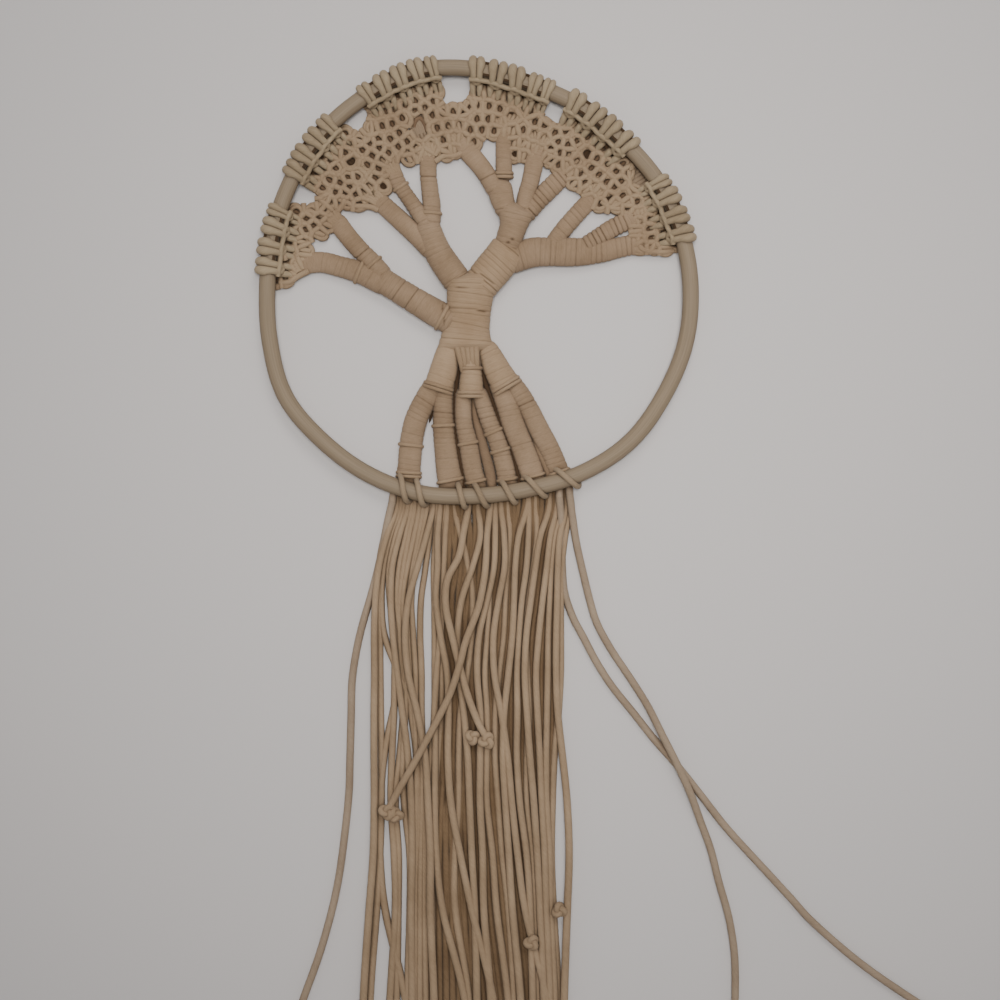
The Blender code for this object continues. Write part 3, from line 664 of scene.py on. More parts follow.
def collar_routes(name, x, y, count):
    """Turns of cord side by side over a limb, the first of them at a place."""
    tip_height, foot_height, rows = LIMBS[name]
    points = smooth_route(rows, 0.5)
    nearest = min(range(1, len(points) - 1),
                  key=lambda k: math.hypot(points[k][0] - x, points[k][1] - y))
    middle = Vector(points[nearest][:2])
    along = (Vector(points[nearest + 1][:2]) - middle).normalized()
    across = Vector((-along.y, along.x))
    wide = points[nearest][2] / 2
    tall = (tip_height + (foot_height - tip_height) * nearest / len(points)) / 2
    routes = []
    for turn in range(count):
        place = middle + along * (COLLAR_SPACING * turn)
        rows = []
        for part in range(COLLAR_PARTS + 1):
            t = math.radians(-25 + 230 * part / COLLAR_PARTS)
            side = place + across * (wide - COLLAR_SINK) * math.cos(t)
            rows.append((side.x, side.y, tall + (tall - COLLAR_SINK) * math.sin(t)))
        routes.append(cord_route(rows, COLLAR_RADIUS, 0.8))
    return routes


turns = [route for collar in COLLARS for route in collar_routes(*collar)]
turns += [varied_route([(top + (foot - top) * share, y, height, radius)
                        for share, y, height, radius in TRUNK_FOOT_ROWS], 0.8)
          for top, foot in TRUNK_FOOT]
add_cords("collar_turns", turns, cotton("cotton_cord_collars", "#9b846a", "#826b52"),
          "wrapped_cord")

BETWEEN_FEET = (                   # core cords deep between the feet: rows of (x, y, radius)
    ((-7, -34, 1.2), (-8.5, -43, 1.3), (-9.3, -55, 1.4), (-9.3, -64, 1.4), (-7.9, -73, 1.5),
     (-6.1, -81, 1.5), (-5, -91, 1.5)),
    ((2.2, -34, 1.2), (4.7, -43, 1.4), (6.8, -49, 1.4), (9.2, -55, 1.5), (11.3, -61.5, 1.5),
     (14.2, -68.5, 1.5), (17, -75, 1.4), (18.8, -82, 1.4), (20.6, -92, 1.4)),
    ((16, -44, 1.2), (19, -51.2, 1.4), (22, -58, 1.5), (25.5, -66, 1.4), (29, -73.5, 0.6)),
    ((-16.5, -45, 1.2), (-18.4, -51, 1.3), (-19.6, -57, 1), (-20.7, -61, 0.15)),
    ((-1.4, -47, 1), (-0.5, -54, 1), (0.5, -60, 1), (1.8, -65, 0.7)),
)
HALF_SHADED = (                    # thicker ones nearer the top, in half shadow
    ((-1.3, -47, 1.2), (-0.6, -54, 1.4), (0.4, -60, 1.8), (2.2, -66, 2.2), (4.0, -73, 2.4),
     (5.9, -80, 2.6), (7.3, -87, 2.5), (8, -93, 2.2)),
    ((25.6, -66, 1.0), (28.7, -73.5, 1.7), (31.8, -80.5, 1.8), (34, -87.5, 1.8), (35, -92, 1.4)),
)
# Painted shade: darker copies of the cord's cotton, the first for deep shade, the second for half
# shade
painted_shade_cotton = cotton("cotton_cord_painted_shade", "#4c3a29", "#35271a", ply=0.5)
painted_half_shade_cotton = cotton("cotton_cord_painted_half_shade", "#856f58", "#6a5542", ply=0.5)
for name, places, finish in (("cords_between_feet", BETWEEN_FEET, painted_shade_cotton),
                             ("cords_between_feet_upper", HALF_SHADED, painted_half_shade_cotton)):
    routes = [varied_route([(x, y, 1.0 + radius, radius) for x, y, radius in rows], 1.5)
              for rows in places]
    add_cords(name, routes, finish, "wrapped_cord")


# ---------------------------------------------------------------- knots that hold the tree
# Cotton cords, each doubled over the rod in a lark's head: two ridges across the rod and a bar
# over them on the inner side, pulled tight. Soft, matte and pale on the ridges, with painted
# shade between them.

HEADS = {                          # degrees at the borders between one head and the next
    "knots_far_left": (157.5, 161.2, 166.6, 172.0, 177.5),
    "knots_left": (130.0, 134.3, 139.7, 144.9, 150.0),
    "knots_top_left": (98.9, 102.6, 107.2, 112.0, 117.0, 121.0),
    "knots_top_right": (68.0, 71.6, 75.8, 81.2, 87.2, 92.0),
    "knots_right": (40.5, 46.9, 52.5, 58.5, 64.0),
    "knots_far_right": (11.5, 16.9, 22.2, 27.6, 31.5),
}
# One ridge from its hanging end to the middle of the bar: share of the head's half width from
# its middle, mm outwards from the rod's middle, height, radius
RIDGE = (
    (0.38, -12.0, 1.8, 1.2), (0.40, -9.6, 3.2, 1.45), (0.42, -7.0, 4.6, 1.6),
    (0.46, -4.2, 3.0, 1.4), (0.44, 0.0, 1.6, 1.4), (0.42, 3.6, 2.9, 1.6), (0.40, 4.4, 6.3, 2.0),
    (0.43, 3.2, 9.2, 2.15), (0.44, 1.4, 10.1, 2.2), (0.36, -0.8, 9.9, 1.75),
    (0.34, -3.2, 8.9, 1.6), (0.34, -5.0, 7.2, 1.5), (0.2, -6.0, 5.8, 1.3),
)
FULL_HALF = 2.6                    # degrees; a head of less than this half width is thinner
LEAN = 0.12                        # degrees of slant for each mm outwards, at a lean of 1
LEAN_MIDDLE = -5.0                 # mm outwards, where a slanting head keeps its place
LEAN_OUT = 0.35                    # mm outwards that its upper part moves, at a lean of 1
BAR_OUT = -4.9                     # the bar: mm outwards, height between the heads
BAR_HEIGHT = 7.4
BAR_RISE = 1.1                     # mm over the middle of each head
BAR_RADIUS = 1.25
# Cords along the rod under the ridges, coloured dark as painted shade: outwards, height, radius
UNDER_RIDGES = ((2.9, 8.4, 0.9), (-2.2, 8.8, 0.9), (-4.2, 5.0, 1.4), (-6.4, 2.4, 1.5))
UNDER_SHORTER = 0.8                # degrees that they end short of the row's ends


def knot_routes(borders, chance):
    """A row of heads, each one bent cord, and the bar along them."""
    routes, bar = [], []
    for first, last in zip(borders, borders[1:]):
        middle, half = (first + last) / 2, (last - first) / 2
        lean = chance.uniform(-0.5, 0.5)
        thickness = min(1.0, half / FULL_HALF)
        rows = []
        for side in (-1, 1):
            ridge = [(*ring_place(middle + side * share * half + LEAN * lean * (out - LEAN_MIDDLE),
                                  out + (LEAN_OUT * lean if high > 5 else 0.0), high),
                      thick * thickness) for share, out, high, thick in RIDGE]
            rows += ridge[::-side]
        routes.append(varied_route(rows))
    for first, last in zip(borders, borders[1:]):
        for share, rise in ((0.12, 0.0), (0.5, BAR_RISE), (0.88, 0.0)):
            bar.append(ring_place(first + (last - first) * share,
                                  BAR_OUT + chance.uniform(-0.3, 0.3), BAR_HEIGHT + rise))
    routes.append(cord_route(bar, BAR_RADIUS, 0.8))
    return routes


def plain_route(rows, radius):
    """A route with a point for every row of (x, y, height), all in mm."""
    return [(at(*row), radius * 0.001) for row in rows]


def under_route(borders, out, high, radius):
    """A cord along the rod, under a row of heads."""
    sweep = borders[-1] - borders[0]
    steps = int(sweep)
    rows = [ring_place(borders[0] + UNDER_SHORTER + step * (sweep - 2 * UNDER_SHORTER) / steps,
                       out, high) for step in range(steps + 1)]
    return plain_route(rows, radius)


knot_cotton = cotton("cotton_cord_knotted", "#a39176", "#87755c")
chance = random.Random(4)
for name, borders in HEADS.items():
    add_cords(name + "_heads", knot_routes(borders, chance), knot_cotton, "knotted_cord", name)
    add_cords(name + "_under", [under_route(borders, *row) for row in UNDER_RIDGES],
              painted_shade_cotton, "knotted_cord", sides=8)


# ---------------------------------------------------------------- the leafy net
# Knotted cords with small gaps between them. Each gap has its own loop of cord, the loops lie
# side by side and cross each other, and a core cord runs behind every gap, coloured dark as
# painted shade.

HOLES = (                          # the middles of the small gaps
    (-65.7, 38.7), (-68.4, 35.6), (-73.8, 34.6), (-80.5, 34.2), (-70.2, 31.9), (-76, 31.1),
    (-82.8, 28.8), (-72.9, 27.9), (-76.5, 26.1), (-80.1, 24.3), (-84.2, 19.8), (-83.7, 16.2),
    (-84.6, 12.6), (-81, 10.8), (-84.6, 8.1), (-89.1, 7.7), (-86, 3.6), (-89.5, 3.1),
    (-58.5, 69.3), (-61.6, 65.7), (-65.2, 65.2), (-56.7, 65.2), (-52.2, 66.2), (-47.7, 65.2),
    (-50.9, 62.1), (-43.6, 67), (-43.2, 63), (-46.4, 59.4), (-41.9, 57.6), (-58.5, 60.8),
    (-62.6, 60.8), (-66.6, 61.6), (-69.3, 59.4), (-65.2, 57.1), (-48.6, 55.4), (-43.6, 53.6),
    (-45, 49.5), (-63, 54), (-68.4, 54), (-72, 51.8), (-57.1, 49.5), (-53.1, 50), (-65.7, 48.6),
    (-60.8, 47.2), (-56.7, 45.5), (-47.7, 45.9), (-68.9, 45), (-50.4, 43.2), (-72.5, 47.7),
    (-62.6, 42.8), (-59, 42.3), (-53.6, 41.9), (-57.6, 38.2), (-52.2, 37.8), (-47.2, 83.7),
    (-43.2, 84.2), (-39.1, 84.2), (-44.6, 79.2), (-40.5, 79.7), (-36.5, 80.5), (-31.5, 82.4),
    (-27, 84.2), (-35.1, 87.3), (-31.1, 87.8), (-25.2, 90.5), (-21.2, 91.4), (-22.5, 87.3),
    (-41.9, 72.9), (-37.4, 73.8), (-32.9, 76.5), (-38.2, 67), (-34.2, 69.8), (-30.6, 65.7),
    (-34.6, 63.5), (-26.6, 63), (-30.2, 60.8), (-22.9, 59.9), (-39.1, 60.8), (-17.6, 88.2),
    (-46.4, 71.5), (-27, 79.7), (-22.5, 81), (-18.9, 84.2), (-14.8, 78.8), (-9.9, 79.2),
    (-5, 78.3), (-19.4, 77.9), (-17.1, 72), (-12.2, 72.9), (-7.2, 73.4), (-2.2, 71.1),
    (-14.4, 66.6), (-9.5, 67.5), (-5.4, 67), (-19.8, 64.4), (-12.6, 61.6), (-0.5, 65.7),
    (6.8, 87.3), (10.3, 86), (15.3, 85), (18.9, 84.2), (1.4, 87.3), (0.9, 82.4), (6.3, 81.9),
    (11.2, 80.5), (22.1, 81), (25.2, 79.7), (0.9, 76), (5.9, 76), (3.1, 71.1), (8.6, 70.7),
    (21.6, 71.1), (26.6, 69.3), (27, 74.7), (31.1, 67.5), (21.6, 64.8), (25.7, 63), (29.7, 61.6),
    (31.5, 73.4), (9.9, 75.6), (-2.2, 81), (34.2, 62.6), (34.2, 58.1), (37.4, 65.7), (41.9, 64.4),
    (41, 70.7), (36, 69.8), (45, 73.4), (47.2, 70.7), (50.9, 68), (54.9, 65.2), (58.1, 63),
    (45.9, 66.2), (41.9, 60.3), (41.4, 55.4), (38.2, 60.8), (37.8, 55.4), (44.1, 51.8),
    (47.2, 51.3), (45.9, 57.1), (52.6, 54), (55.8, 50.9), (59.9, 55.8), (63.9, 52.6),
    (54.9, 58.1), (59.4, 47.7), (63, 45.5), (65.7, 47.7), (49.5, 47.2), (53.1, 45.5),
    (56.2, 42.8), (62.6, 59.4), (66.6, 55.8), (52.2, 39.6), (69.3, 51.8), (56.7, 37.8),
    (66.6, 41.4), (72.5, 44.1), (77.4, 42.3), (72.9, 38.7),
    (78.8, 38.7), (81.9, 41), (68.9, 36), (74.2, 33.8), (79.7, 35.1), (83.2, 33.3), (79.2, 31.1),
    (84.2, 29.2), (73.8, 29.7), (72.9, 25.7), (78.8, 26.6), (79.7, 22.5), (80.1, 18.4),
    (74.7, 18.4), (84.2, 20.7), (87.8, 30.6), (89.1, 23.4), (86, 18.9), (90.5, 19.8), (63.9, 36),
)
SOLID = (                          # places where the net is closed
    (-70.5, 24.5), (-67, 28.5), (-78.5, 20.5), (-77, 17), (-77.5, 12.5), (-60.5, 39.5),
    (-9.5, 62), (-13, 60.5), (-25.5, 61), (-30, 59), (22, 64), (33.5, 59), (45, 47), (51, 44.5),
    (73, 29.5), (72.5, 33.5), (69, 38), (63, 38), (80.5, 18.2), (86, 18), (17.5, 70), (18, 65),
    (22, 60), (73, 25), (73, 21.5),
)
DEEP = (                           # larger gaps in painted shade: (x, y, half width, half length)
    (50.6, 60, 2.2, 2.2), (60.5, 40.3, 1.9, 2.2), (85.7, 25, 1.8, 1.9), (34.2, 60, 1.2, 2.6),
    (18, 60.3, 1.2, 1.3), (-85, 17.5, 1, 2.4), (-41.5, 45.8, 1.2, 1.7), (16.5, 77.5, 2.2, 1.6),
    (-56, 57, 2.6, 1.6),
)
SHALLOW = (                        # net open, closed behind by cords in painted half shade
    (-25, 76.8), (-24.8, 73.2), (-24.4, 69.6), (73.4, 50.8), (74, 47.2),
)
ROUND_SHALLOW = (                  # a cord in painted shade round the first such gap's upper end
    (-27.7, 72.6, 1.5), (-26.9, 75.4, 1.9), (-25.2, 76.7, 2.0), (-23.5, 75.5, 2.0),
    (-22.3, 73.2, 1.9), (-21.6, 70.4, 1.5),
)
OPEN_PLACES = (                    # the gaps where the floor shows, kept clear of loops
    (-77, 38), (-53, 76), (-9, 88), (35, 78), (-72, 21), (-58, 33), (-50, 32.5), (-46, 31),
    (-9, 55), (-16, 55), (38, 48), (43, 42), (62, 32), (-85, 30), (84, 11), (74, 12), (-74, 5),
    (-30, 51), (21, 54),
)
EDGES = (                          # cords along the net's edges: rows of (x, y, height)
    ((-88.5, 2.5, 3), (-84, 2.5, 3), (-80, 5, 3), (-75, 7.5, 3)),
    ((-87.5, 23, 5), (-87, 17.5, 6), (-85.5, 12, 5)),
    ((-62, 34.5, 2.6), (-58.3, 38.4, 3), (-54.6, 36.8, 3), (-47.5, 36.4, 3), (-43.8, 35, 2.6)),
    ((-18, 57, 2.6), (-14, 59.3, 3), (-9, 59.5, 3), (-5, 61.5, 2.6)),
    ((-79, 31.5, 2.6), (-75, 34.5, 3), (-71, 33.5, 3), (-66, 39.5, 3), (-65, 45, 2.6)),
    ((-60.5, 67.5, 2.6), (-56, 67, 3), (-50, 65.5, 3), (-46.5, 70, 3), (-47.5, 78, 2.6)),
    ((-17.5, 88, 2.6), (-16, 80, 3), (-9, 77, 3), (-2, 79, 3), (1, 86, 2.6)),
    ((28, 83, 2.6), (30, 76.5, 3), (36, 72.5, 3), (42, 72, 3), (45.5, 74.5, 2.6)),
    ((69.5, 53, 2.6), (70, 46, 3), (74.5, 42.5, 3), (79, 42, 2.6)),
    ((57, 39, 2.6), (61, 36, 3), (67, 35.5, 2.6)),
    ((74.5, 25.5, 2.6), (73.5, 21, 3), (76, 17, 3), (84, 16, 3), (89.5, 17, 2.6)),
)
FAN = (                            # cords from a limb's tip: mm ahead, half width, height
    (-4.5, 2.2, 1.9), (-1.5, 2.3, 2.5), (1, 2.8, 2.5), (3.6, 4, 1.9), (5.6, 5.2, 1.4),
)
CELL_WAYS = 16                     # directions round a gap in which its part is measured
CELL_WIDE, CELL_LONG = 3.3, 4.2    # mm, the farthest that a gap's part of the net reaches
NEIGHBOURS = 14                    # mm; gaps farther away than this have no effect
SIDE_BY_SIDE = 9.5                 # mm; gaps closer than this have a cord between them
LINE_REACH = 3.6                   # mm, half of the longest such cord
CLEAR = 2.5                        # mm that such a cord's middle keeps from an open place
HOLE_WIDE, HOLE_LONG = 1.0, 1.55   # mm, half the size of a small gap
LOOP_WIDTH = 1.15                  # mm from the gap's edge to the middle of its loop
BEHIND_LEVEL = 1.15                # mm, of the cords behind the gaps
BEHIND_RADIUS = 1.1
BEHIND_REACH = 1.3                 # mm that a cord behind a gap goes on past it
NET_SIDES = 8
NET_STEP = 0.9                     # mm between the rings of the net's cords


def cell_radii(place, others):
    """How far a gap's own part of the net reaches, half way to its neighbours, 16 ways round."""
    x, y = place
    reach = math.hypot(x, y)
    near = [(ox - x, oy - y) for ox, oy in others
            if 0 < abs(ox - x) + abs(oy - y) and math.hypot(ox - x, oy - y) < NEIGHBOURS]
    ways = []
    for part in range(CELL_WAYS):
        turn = part * math.pi / (CELL_WAYS / 2)
        along, out = math.cos(turn), math.sin(turn)
        way_x, way_y = (-along * y + out * x) / reach, (along * x + out * y) / reach
        radius = 1 / math.hypot(along / CELL_WIDE, out / CELL_LONG)
        for dx, dy in near:
            towards = dx * way_x + dy * way_y
            if towards > 0.01:
                radius = min(radius, (dx * dx + dy * dy) / 2 / towards)
        ways.append((turn, way_x, way_y, radius))
    return ways


def loop_route(place, ways, widest, longest, inset, height, thick, skew=0.0):
    """A closed loop of cord round a gap, kept inside the gap's own part of the net.

    It goes on three ways past its start, so that it shows no joint.
    """
    x, y = place
    radii = [min(radius - inset, (1 + 0.06 * math.cos(3 * turn + skew))
                 / math.hypot(math.cos(turn) / widest, math.sin(turn) / longest))
             for turn, way_x, way_y, radius in ways]
    rows = []
    for part in range(CELL_WAYS + 3):
        way = part % CELL_WAYS
        way_x, way_y = ways[way][1:3]
        radius = (radii[way - 1] + 2 * radii[way] + radii[(way + 1) % CELL_WAYS]) / 4
        rows.append((x + radius * way_x, y + radius * way_y, height))
    return cord_route(rows, thick, NET_STEP)


def meeting_place(corners):
    """The place as far from each of three gaps."""
    (ax, ay), (bx, by), (cx, cy) = corners
    twist = 2 * (ax * (by - cy) + bx * (cy - ay) + cx * (ay - by))
    a, b, c = ax * ax + ay * ay, bx * bx + by * by, cx * cx + cy * cy
    return Vector(((a * (by - cy) + b * (cy - ay) + c * (ay - by)) / twist,
                   (a * (cx - bx) + b * (ax - cx) + c * (bx - ax)) / twist))


def web_lines(places):
    """The lines half way between gaps that lie side by side, where the net's cords run."""
    net = delaunay_2d_cdt([Vector(place) for place in places], [], [], 0, 1e-5)
    corners, faces = net[0], net[2]
    beside = {}
    for face in faces:
        meeting = meeting_place([corners[k] for k in face])
        for pair in zip(face, face[1:] + face[:1]):
            beside.setdefault(tuple(sorted(pair)), []).append(meeting)
    lines = []
    for (one, two), ends in sorted(beside.items()):
        if len(ends) < 2 or (corners[one] - corners[two]).length > SIDE_BY_SIDE:
            continue
        middle = (corners[one] + corners[two]) / 2
        near, far = [middle + (end - middle).normalized()
                     * min(LINE_REACH, (end - middle).length + 0.2) for end in ends]
        lines.append((near, middle, far))
    return lines


def outward_line(place, reach, shift=0.0):
    """Places on a line through a place, outwards from the hoop's middle, shifted to its side."""
    out = Vector(place) / math.hypot(*place)
    middle = Vector(place) + Vector((-out.y, out.x)) * shift
    return [(middle + out * s, s) for s in (-reach, 0, reach)]


def cord_behind(place, shift, reach):
    """A straight cord low behind a gap."""
    return plain_route([(*p, BEHIND_LEVEL) for p, s in outward_line(place, reach, shift)],
                       BEHIND_RADIUS)


chance = random.Random(11)
net_routes, core_routes, deep_core_routes, pale_core_routes = [], [], [], []
larger = {(x, y): (wide, long) for x, y, wide, long in DEEP}
places = HOLES + SOLID + SHALLOW + tuple(larger)
for place in places:
    if place in SHALLOW:
        pale_core_routes += [cord_behind(place, shift, 3.6) for shift in (-3.6, -1.8, 0, 1.8, 3.6)]
        continue
    ways = cell_radii(place, places + OPEN_PLACES)
    net_routes.append(loop_route(place, ways, widest=9, longest=9, inset=0.3, height=2.2,
                                 thick=1.2))
    if place in SOLID:
        net_routes.append(plain_route([(*p, 2.6 - 0.08 * s * s)
                                       for p, s in outward_line(place, 2.6)], 1.5))
        continue
    wide, long = larger.get(place, (HOLE_WIDE, HOLE_LONG))
    net_routes.append(loop_route(place, ways, wide + LOOP_WIDTH, long + LOOP_WIDTH, inset=0.25,
                                 height=2.7, thick=1.15, skew=chance.uniform(0, 6.3)))
    if place in larger:
        deep_core_routes += [cord_behind(place, shift, long + BEHIND_REACH)
                             for shift in (-2.4, -0.8, 0.8, 2.4)]
    else:
        core_routes.append(cord_behind(place, 0, long + BEHIND_REACH))
for near, middle, far in web_lines(places):
    if min((middle - Vector(place)).length for place in OPEN_PLACES + SHALLOW) < CLEAR:
        continue
    thick = chance.uniform(1.25, 1.45)
    rows = ((*near, 2.6), (*middle, chance.uniform(2.9, 3.5)), (*far, 2.6))
    net_routes.append(cord_route(rows, thick, NET_STEP))
net_routes += [cord_route(rows, 1.4) for rows in EDGES]
core_routes.append(cord_route(ROUND_SHALLOW, BEHIND_RADIUS, 1.5))
for name, limb in LIMBS.items():
    if name.startswith(("branch", "twig")) and name != "twig_right_stem":
        tip, second = [Vector(row[:2]) for row in limb[2][:2]]
        ahead = (tip - second).normalized()
        across = Vector((-ahead.y, ahead.x))
        for side in (-1.0, -0.5, 0.0, 0.5, 1.0):
            fan = [(*(tip + ahead * far + across * side * wide), high) for far, wide, high in FAN]
            net_routes.append(cord_route(fan, 1.3))
add_cords("leaf_net_cords", net_routes,
          cotton("cotton_cord_netted", "#a18b70", "#866f57", ply=0.6), "netted_cord", "leaf_net",
          sides=NET_SIDES)
# Painted shade: darker copies of the net's cotton for the cords behind its gaps, the second paler
painted_shade_core_cotton = cotton("cotton_cord_painted_shade_behind_net", "#7a624c", "#5f4a38", ply=0.5, gloom=0.62)
pale_painted_shade_core_cotton = cotton("cotton_cord_pale_painted_shade_behind_net", "#94806a", "#786652", ply=0.5,
                            gloom=0.5)
for kind, routes, finish in (("", core_routes, painted_shade_core_cotton),
                             ("_deep", deep_core_routes, painted_shade_cotton),
                             ("_shallow", pale_core_routes, pale_painted_shade_core_cotton)):
    add_cords("leaf_net%s_core_cords" % kind, routes, finish, "netted_cord", sides=NET_SIDES)


# ---------------------------------------------------------------- hitches at the hoop's foot
# One cord from each foot crosses over the rod on a slant and goes on down into the fringe, and
# the first foot has two. The same soft cotton, drawn tight, so the wood shows between them.

HITCHES = {                        # degrees on the inner and on the outer side, for each cord
    "hitch_1": ((248.6, 252.3), (253.3, 256.6)),
    "hitch_2": ((265.2, 267.3),),
    "hitch_3": ((270.0, 273.0),),
    "hitch_4": ((278.0, 280.4),),
    "hitch_5": ((285.2, 288.4),),
    "hitch_6": ((294.2, 297.2),),
}
OVER = (                           # share of the slant, mm outwards, height
    (-0.35, -8.5, 1.6), (-0.2, -6.8, 3.2), (-0.05, -5.2, 6.2), (0.15, -3.8, 9.2), (0.5, 0.0, 11.2),
    (0.85, 3.8, 9.2), (1.05, 4.9, 6.0), (1.2, 4.2, 3.0), (1.3, 1.5, 1.7), (1.3, -2.0, 1.6),
)
hitch_cotton = cotton("cotton_cord_hitched", "#9a866d", "#7f6c55")
for name, slants in HITCHES.items():
    routes = [cord_route([ring_place(inner + (outer - inner) * share, out, high)
                          for share, out, high in OVER], 1.3) for inner, outer in slants]
    add_cords(name + "_cords", routes, hitch_cotton, "knotted_cord", name, sides=12)


# ---------------------------------------------------------------- the fringe
# Loose cotton cords hanging from behind the foot of the hoop: 32 in front, which cross here and
# there, and 49 behind in their shadow, which is painted into their darker colour. Two of those in
# front lie on top of the rest and end early in small knots.

LEVELS = (-99.5, -112, -126, -141, -157, -174, -192, -211, -232, -256, -282, -323, -379)
FRONT = (                          # height of its middle, then x at every level
    (4.9, -35.6, -39.8, -43.3, -44.9, -45.4, -45.3, -45.5, -45.5, -45.4, -45.9, -47.8, -50.4,
     -52.1),
    (1.9, -27.4, -29.8, -32.3, -34.1, -33.9, -33.7, -37.2, -41, -42.8, -43, -40.4, -31.2, -25),
    (3.8, -30.6, -34.2, -37.4, -38, -37, -35, -32.7, -30.3, -28.8, -28.4, -28.8, -28.4, -28.1),
    (2, -23.4, -25.5, -28, -29.8, -30.1, -29.3, -28.7, -26.4, -25.7, -25.7, -25.7, -24.8, -24.3),
    (5, -18.9, -21.9, -25.9, -30, -31.5, -30.1, -25.9, -22.5, -21.2, -20.1, -20.1, -18.4, -17.3),
    (2, -33.8, -38, -41.2, -42.3, -40.9, -34.4, -27.1, -24.1, -23.3, -23, -22.8, -22.1, -21.6),
    (5.2, -15.8, -16.9, -16.9, -17.5, -15.5, -12.5, -12, -12.2, -10.9, -6.5, -1, 8.5, 14.9),
    (3.6, -12.6, -13.6, -14.2, -14.7, -15.7, -17.4, -18.2, -18, -18.2, -17.6, -14.4, -4.2, 2.9),
    (3, -9.5, -6.4, -3, -1, -1.4, -3.6, -6.5, -7.3, -7.5, -8.9, -8.8, -2.3, 2.1),
    (5, 1.4, 2.4, -1.1, -6.1, -8, -7.3, -5, -3.3, -2.4, -1.4, -0, 0.9, 1.5),
    (5, 9, 9.1, 8.5, 5.4, 1.8, 0.9, 2.3, 2.3, 2.2, 3.4, 4, 7.2, 9.3),
    (5, 11.7, 13.1, 13.3, 10.6, 8.3, 8.7, 11.9, 14.6, 16.6, 19.2, 22.9, 32.7, 39.5),
    (3.4, 6.8, 5.4, 5.2, 6.3, 5.6, 4.4, 5.2, 5.1, 5.1, 7.8, 9.8, 15.1, 18.8),
    (2.6, 14.8, 15.7, 14.7, 13.7, 13, 10.9, 9.3, 9.1, 10.6, 12.4, 15.3, 17.6, 19.1),
    (5, 23.4, 19.7, 18.1, 17.6, 16.8, 15, 13.1, 12.6, 13.7, 15.3, 17, 20.7, 23.1),
    (4.4, 24.3, 24.1, 23.2, 21.1, 19.8, 18.9, 19.1, 18.8, 20.1, 23.2, 24.9, 26.1, 26.9),
    (3, 27.4, 27.9, 26.1, 24, 22.8, 23.6, 24.3, 23.5, 23.4, 25.9, 27.1, 28.4, 29.2),
    (5, 33.5, 29.5, 27.2, 25.1, 23.1, 22.4, 23.4, 24.7, 26.5, 28.1, 29.4, 31.1, 32.2),
    (4.6, 36.9, 34, 32.3, 30.4, 28.7, 27.5, 28.1, 29.1, 30, 31.3, 32.1, 33.8, 34.9),
    (3.6, 39.1, 36.1, 34.4, 33.6, 33, 32.8, 32.4, 32, 32.1, 33.6, 34.1, 36, 37.2),
    (4.8, 41, 38.2, 37.3, 37, 36.6, 36.5, 37.3, 39.4, 41.5, 42.4, 41.5, 40.1, 39.1),
    (2.4, 42.8, 40.7, 39.1, 38.7, 38.7, 38.6, 37.6, 35.8, 34.9, 34.4, 35.4, 37.8, 39.4),
)
CROSSING = (                       # cords lying on top that end in a knot: rows of (x, y, height)
    ((-3.1, -92.5, 1.6), (-3.1, -99.5, 2.6), (-5, -109.4, 4.5), (-7.2, -121, 6.8),
     (-12.4, -131.8, 7.4), (-13.1, -143.6, 8), (-10.3, -157.1, 8), (-6.8, -171, 7.2),
     (-3.1, -184.1, 8), (1.4, -195.8, 8), (5, -202.5, 8.2)),
    ((6.8, -92.5, 1.6), (6.8, -99.5, 2.6), (5.4, -111.6, 4), (5, -122, 5), (4, -131.8, 6.8),
     (1.4, -144.5, 7.6), (-4, -158.8, 8.2), (-7, -170.1, 10), (-11.7, -184.1, 8.4),
     (-19.8, -200.2, 7.8), (-27.4, -214.2, 7.4), (-35.1, -227.7, 7.2), (-38.2, -233.6, 7.2)),
)
KNOTS_BELOW = (                    # overhand knots in the fringe: (x, y, height, turn, size)
    (5.2, -204, 8.0, 0.6, 0.95), (-1, -202.5, 7.4, 2.0, 0.8), (-39.5, -236, 6.8, 0.2, 0.95),
    (-35.5, -237.5, 6.6, 1.4, 0.8), (25.5, -295, 6.8, 0.5, 0.85), (38, -280.5, 6.2, 1.1, 0.85),
)
SIDE = (                           # lower cords of the left side: x at every level
    (-36.5, -41, -43.5, -43.5, -43, -42.8, -42.6, -42.3, -42.3, -43, -44.5, -47.5, -49),
    (-32.3, -36, -38.8, -38.5, -36.4, -36.3, -36.6, -37.5, -38, -36.5, -36, -38.5, -41),
    (-28.8, -31.5, -34.5, -35.5, -33.8, -32.2, -32.5, -34, -36, -34.6, -34.8, -35.5, -37),
    (-25.2, -27.5, -30.5, -32.5, -31.5, -30.8, -31.5, -32.5, -32, -29.4, -29.4, -30.5, -31),
    (-21.8, -24, -27, -28.8, -28, -27, -27, -26.5, -26.5, -27, -27, -27.5, -28),
    (-19.5, -20.5, -22.3, -24.4, -24.8, -24.2, -24.2, -23.5, -23.8, -24.5, -24.8, -25, -25),
    (-17.2, -17.8, -18.6, -18.4, -18.2, -18.2, -18.3, -20, -21.5, -22, -22, -22, -22),
    (-13.5, -14.5, -15.5, -16, -15.6, -15, -15.2, -16.5, -18.5, -19.3, -19.3, -19, -18.5),
)
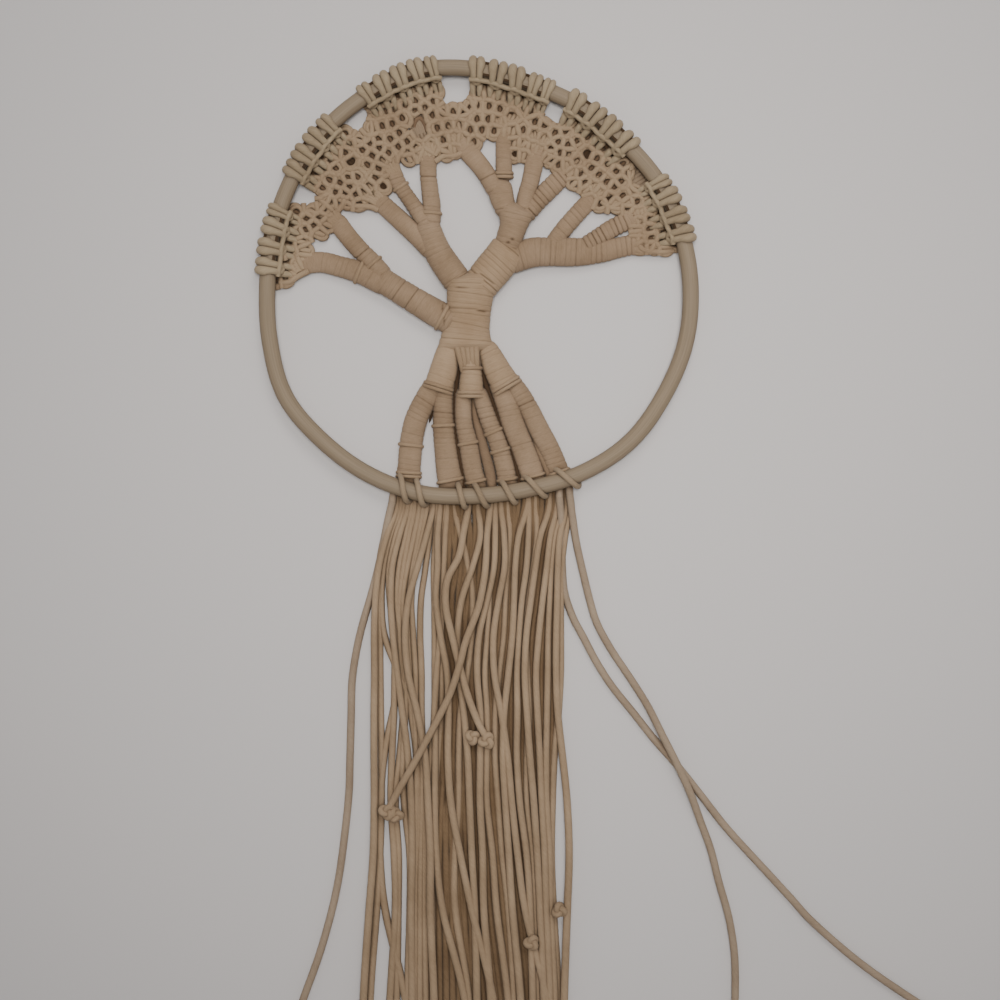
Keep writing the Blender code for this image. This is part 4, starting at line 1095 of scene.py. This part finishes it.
MIDDLE = (                         # cords behind the middle, most of them hidden
    (-11, -11.4, -12.1, -12.8, -12.8, -12.3, -12, -13, -15, -16.3, -16.4, -16, -15.5),
    (-8, -8.5, -9.5, -10.5, -10, -9.5, -9.3, -10, -12, -13.3, -13.3, -13, -12.5),
    (-5.5, -6, -6.5, -7.5, -7, -6.5, -6.3, -7.5, -9, -10.3, -10.5, -10, -9.5),
    (-3, -3, -4, -5, -4.5, -4, -3.5, -4.5, -6, -7.5, -7.5, -7, -6.5),
    (0, 0, -1.5, -2, -1.8, -1.3, -0.5, -1.5, -3, -4.5, -4.5, -4, -3.5),
    (3, 3, 2, 1.5, 1.2, 1.5, 2.5, 1.5, 0, -1.5, -1.5, -1, -0.5),
)
# One more behind the right side, where the cords in front lie wide apart: x at every level
BEHIND_RIGHT = (17.6, 17.4, 17, 16.5, 15.8, 14.5, 13.5, 13, 13.5, 14.5, 16, 18.5, 20.5)
START_LEVEL = 1.4                  # mm, where a cord comes out from under the rod
LOWEST_LEVEL = 1.8                 # mm, of its middle from there on
THICKENING = 0.4                   # mm that its radius grows to its end
KNOT_PARTS = 72


def fringe_route(xs, height, thick, chance):
    """From under the rod down through its place at every level to the fringe's lower end.

    The cord has risen to its height by the third level.
    """
    rod_y = ring_place(-math.degrees(math.acos(xs[0] / ring_radius(270))))[1]
    rows = [(xs[0], rod_y + 1.5, START_LEVEL, thick)]
    for index, (x, level) in enumerate(zip(xs, LEVELS)):
        rise = min(1.0, 0.25 + index / 2)
        high = START_LEVEL + (height + chance.uniform(-0.3, 0.3) - START_LEVEL) * rise
        rows.append((x, level, max(high, LOWEST_LEVEL), thick + THICKENING * index / len(LEVELS)))
    return varied_route(rows, 1.6)


def knot_ring(x, y, height, turn, size):
    """An overhand knot drawn as a closed trefoil of cord."""
    ring = []
    for part in range(KNOT_PARTS + 1):
        t = part * 2 * math.pi / KNOT_PARTS
        u, v = math.sin(t) + 2 * math.sin(2 * t), math.cos(t) - 2 * math.cos(2 * t)
        ring.append((x + size * (u * math.cos(turn) - v * math.sin(turn)),
                     y + size * (u * math.sin(turn) + v * math.cos(turn)),
                     height - 0.9 * math.sin(3 * t)))
    return plain_route(ring, 1.4)


chance = random.Random(23)
front_routes = [fringe_route(xs, height, 1.42, chance) for height, *xs in FRONT]
front_routes += [fringe_route(xs, chance.uniform(1.8, 2.6), 1.35, chance) for xs in SIDE]
behind_routes = [fringe_route(xs, 1.8, 1.4, chance) for xs in MIDDLE]
middle_cords = [xs for height, *xs in FRONT[6:]]
by_level = [sorted(places) for places in zip(*middle_cords)]
# Three behind each gap between those in front, from the left side's to near the right edge
for gap in range(len(middle_cords) - 2):
    for share in (0.15, 0.5, 0.85):
        xs = [places[gap] * (1 - share) + places[gap + 1] * share + chance.uniform(-0.4, 0.4)
              for places in by_level]
        behind_routes.append(fringe_route(xs, chance.uniform(1.3, 1.9), 1.3, chance))
behind_routes.append(fringe_route(BEHIND_RIGHT, 1.8, 1.4, chance))
front_routes += [cord_route(rows, 1.6, 1.2) for rows in CROSSING]
front_routes += [knot_ring(*row) for row in KNOTS_BELOW]
add_cords("fringe_cords", front_routes, cotton("cotton_cord_fringe", "#a38b70", "#867057"),
          "loose_cord", "fringe")
# Painted shade: those behind are a darker copy of the fringe's cotton
add_cords("fringe_cords_behind", behind_routes,
          cotton("cotton_cord_fringe_painted_shade", "#80694f", "#5f4a34"), "loose_cord", sides=8)
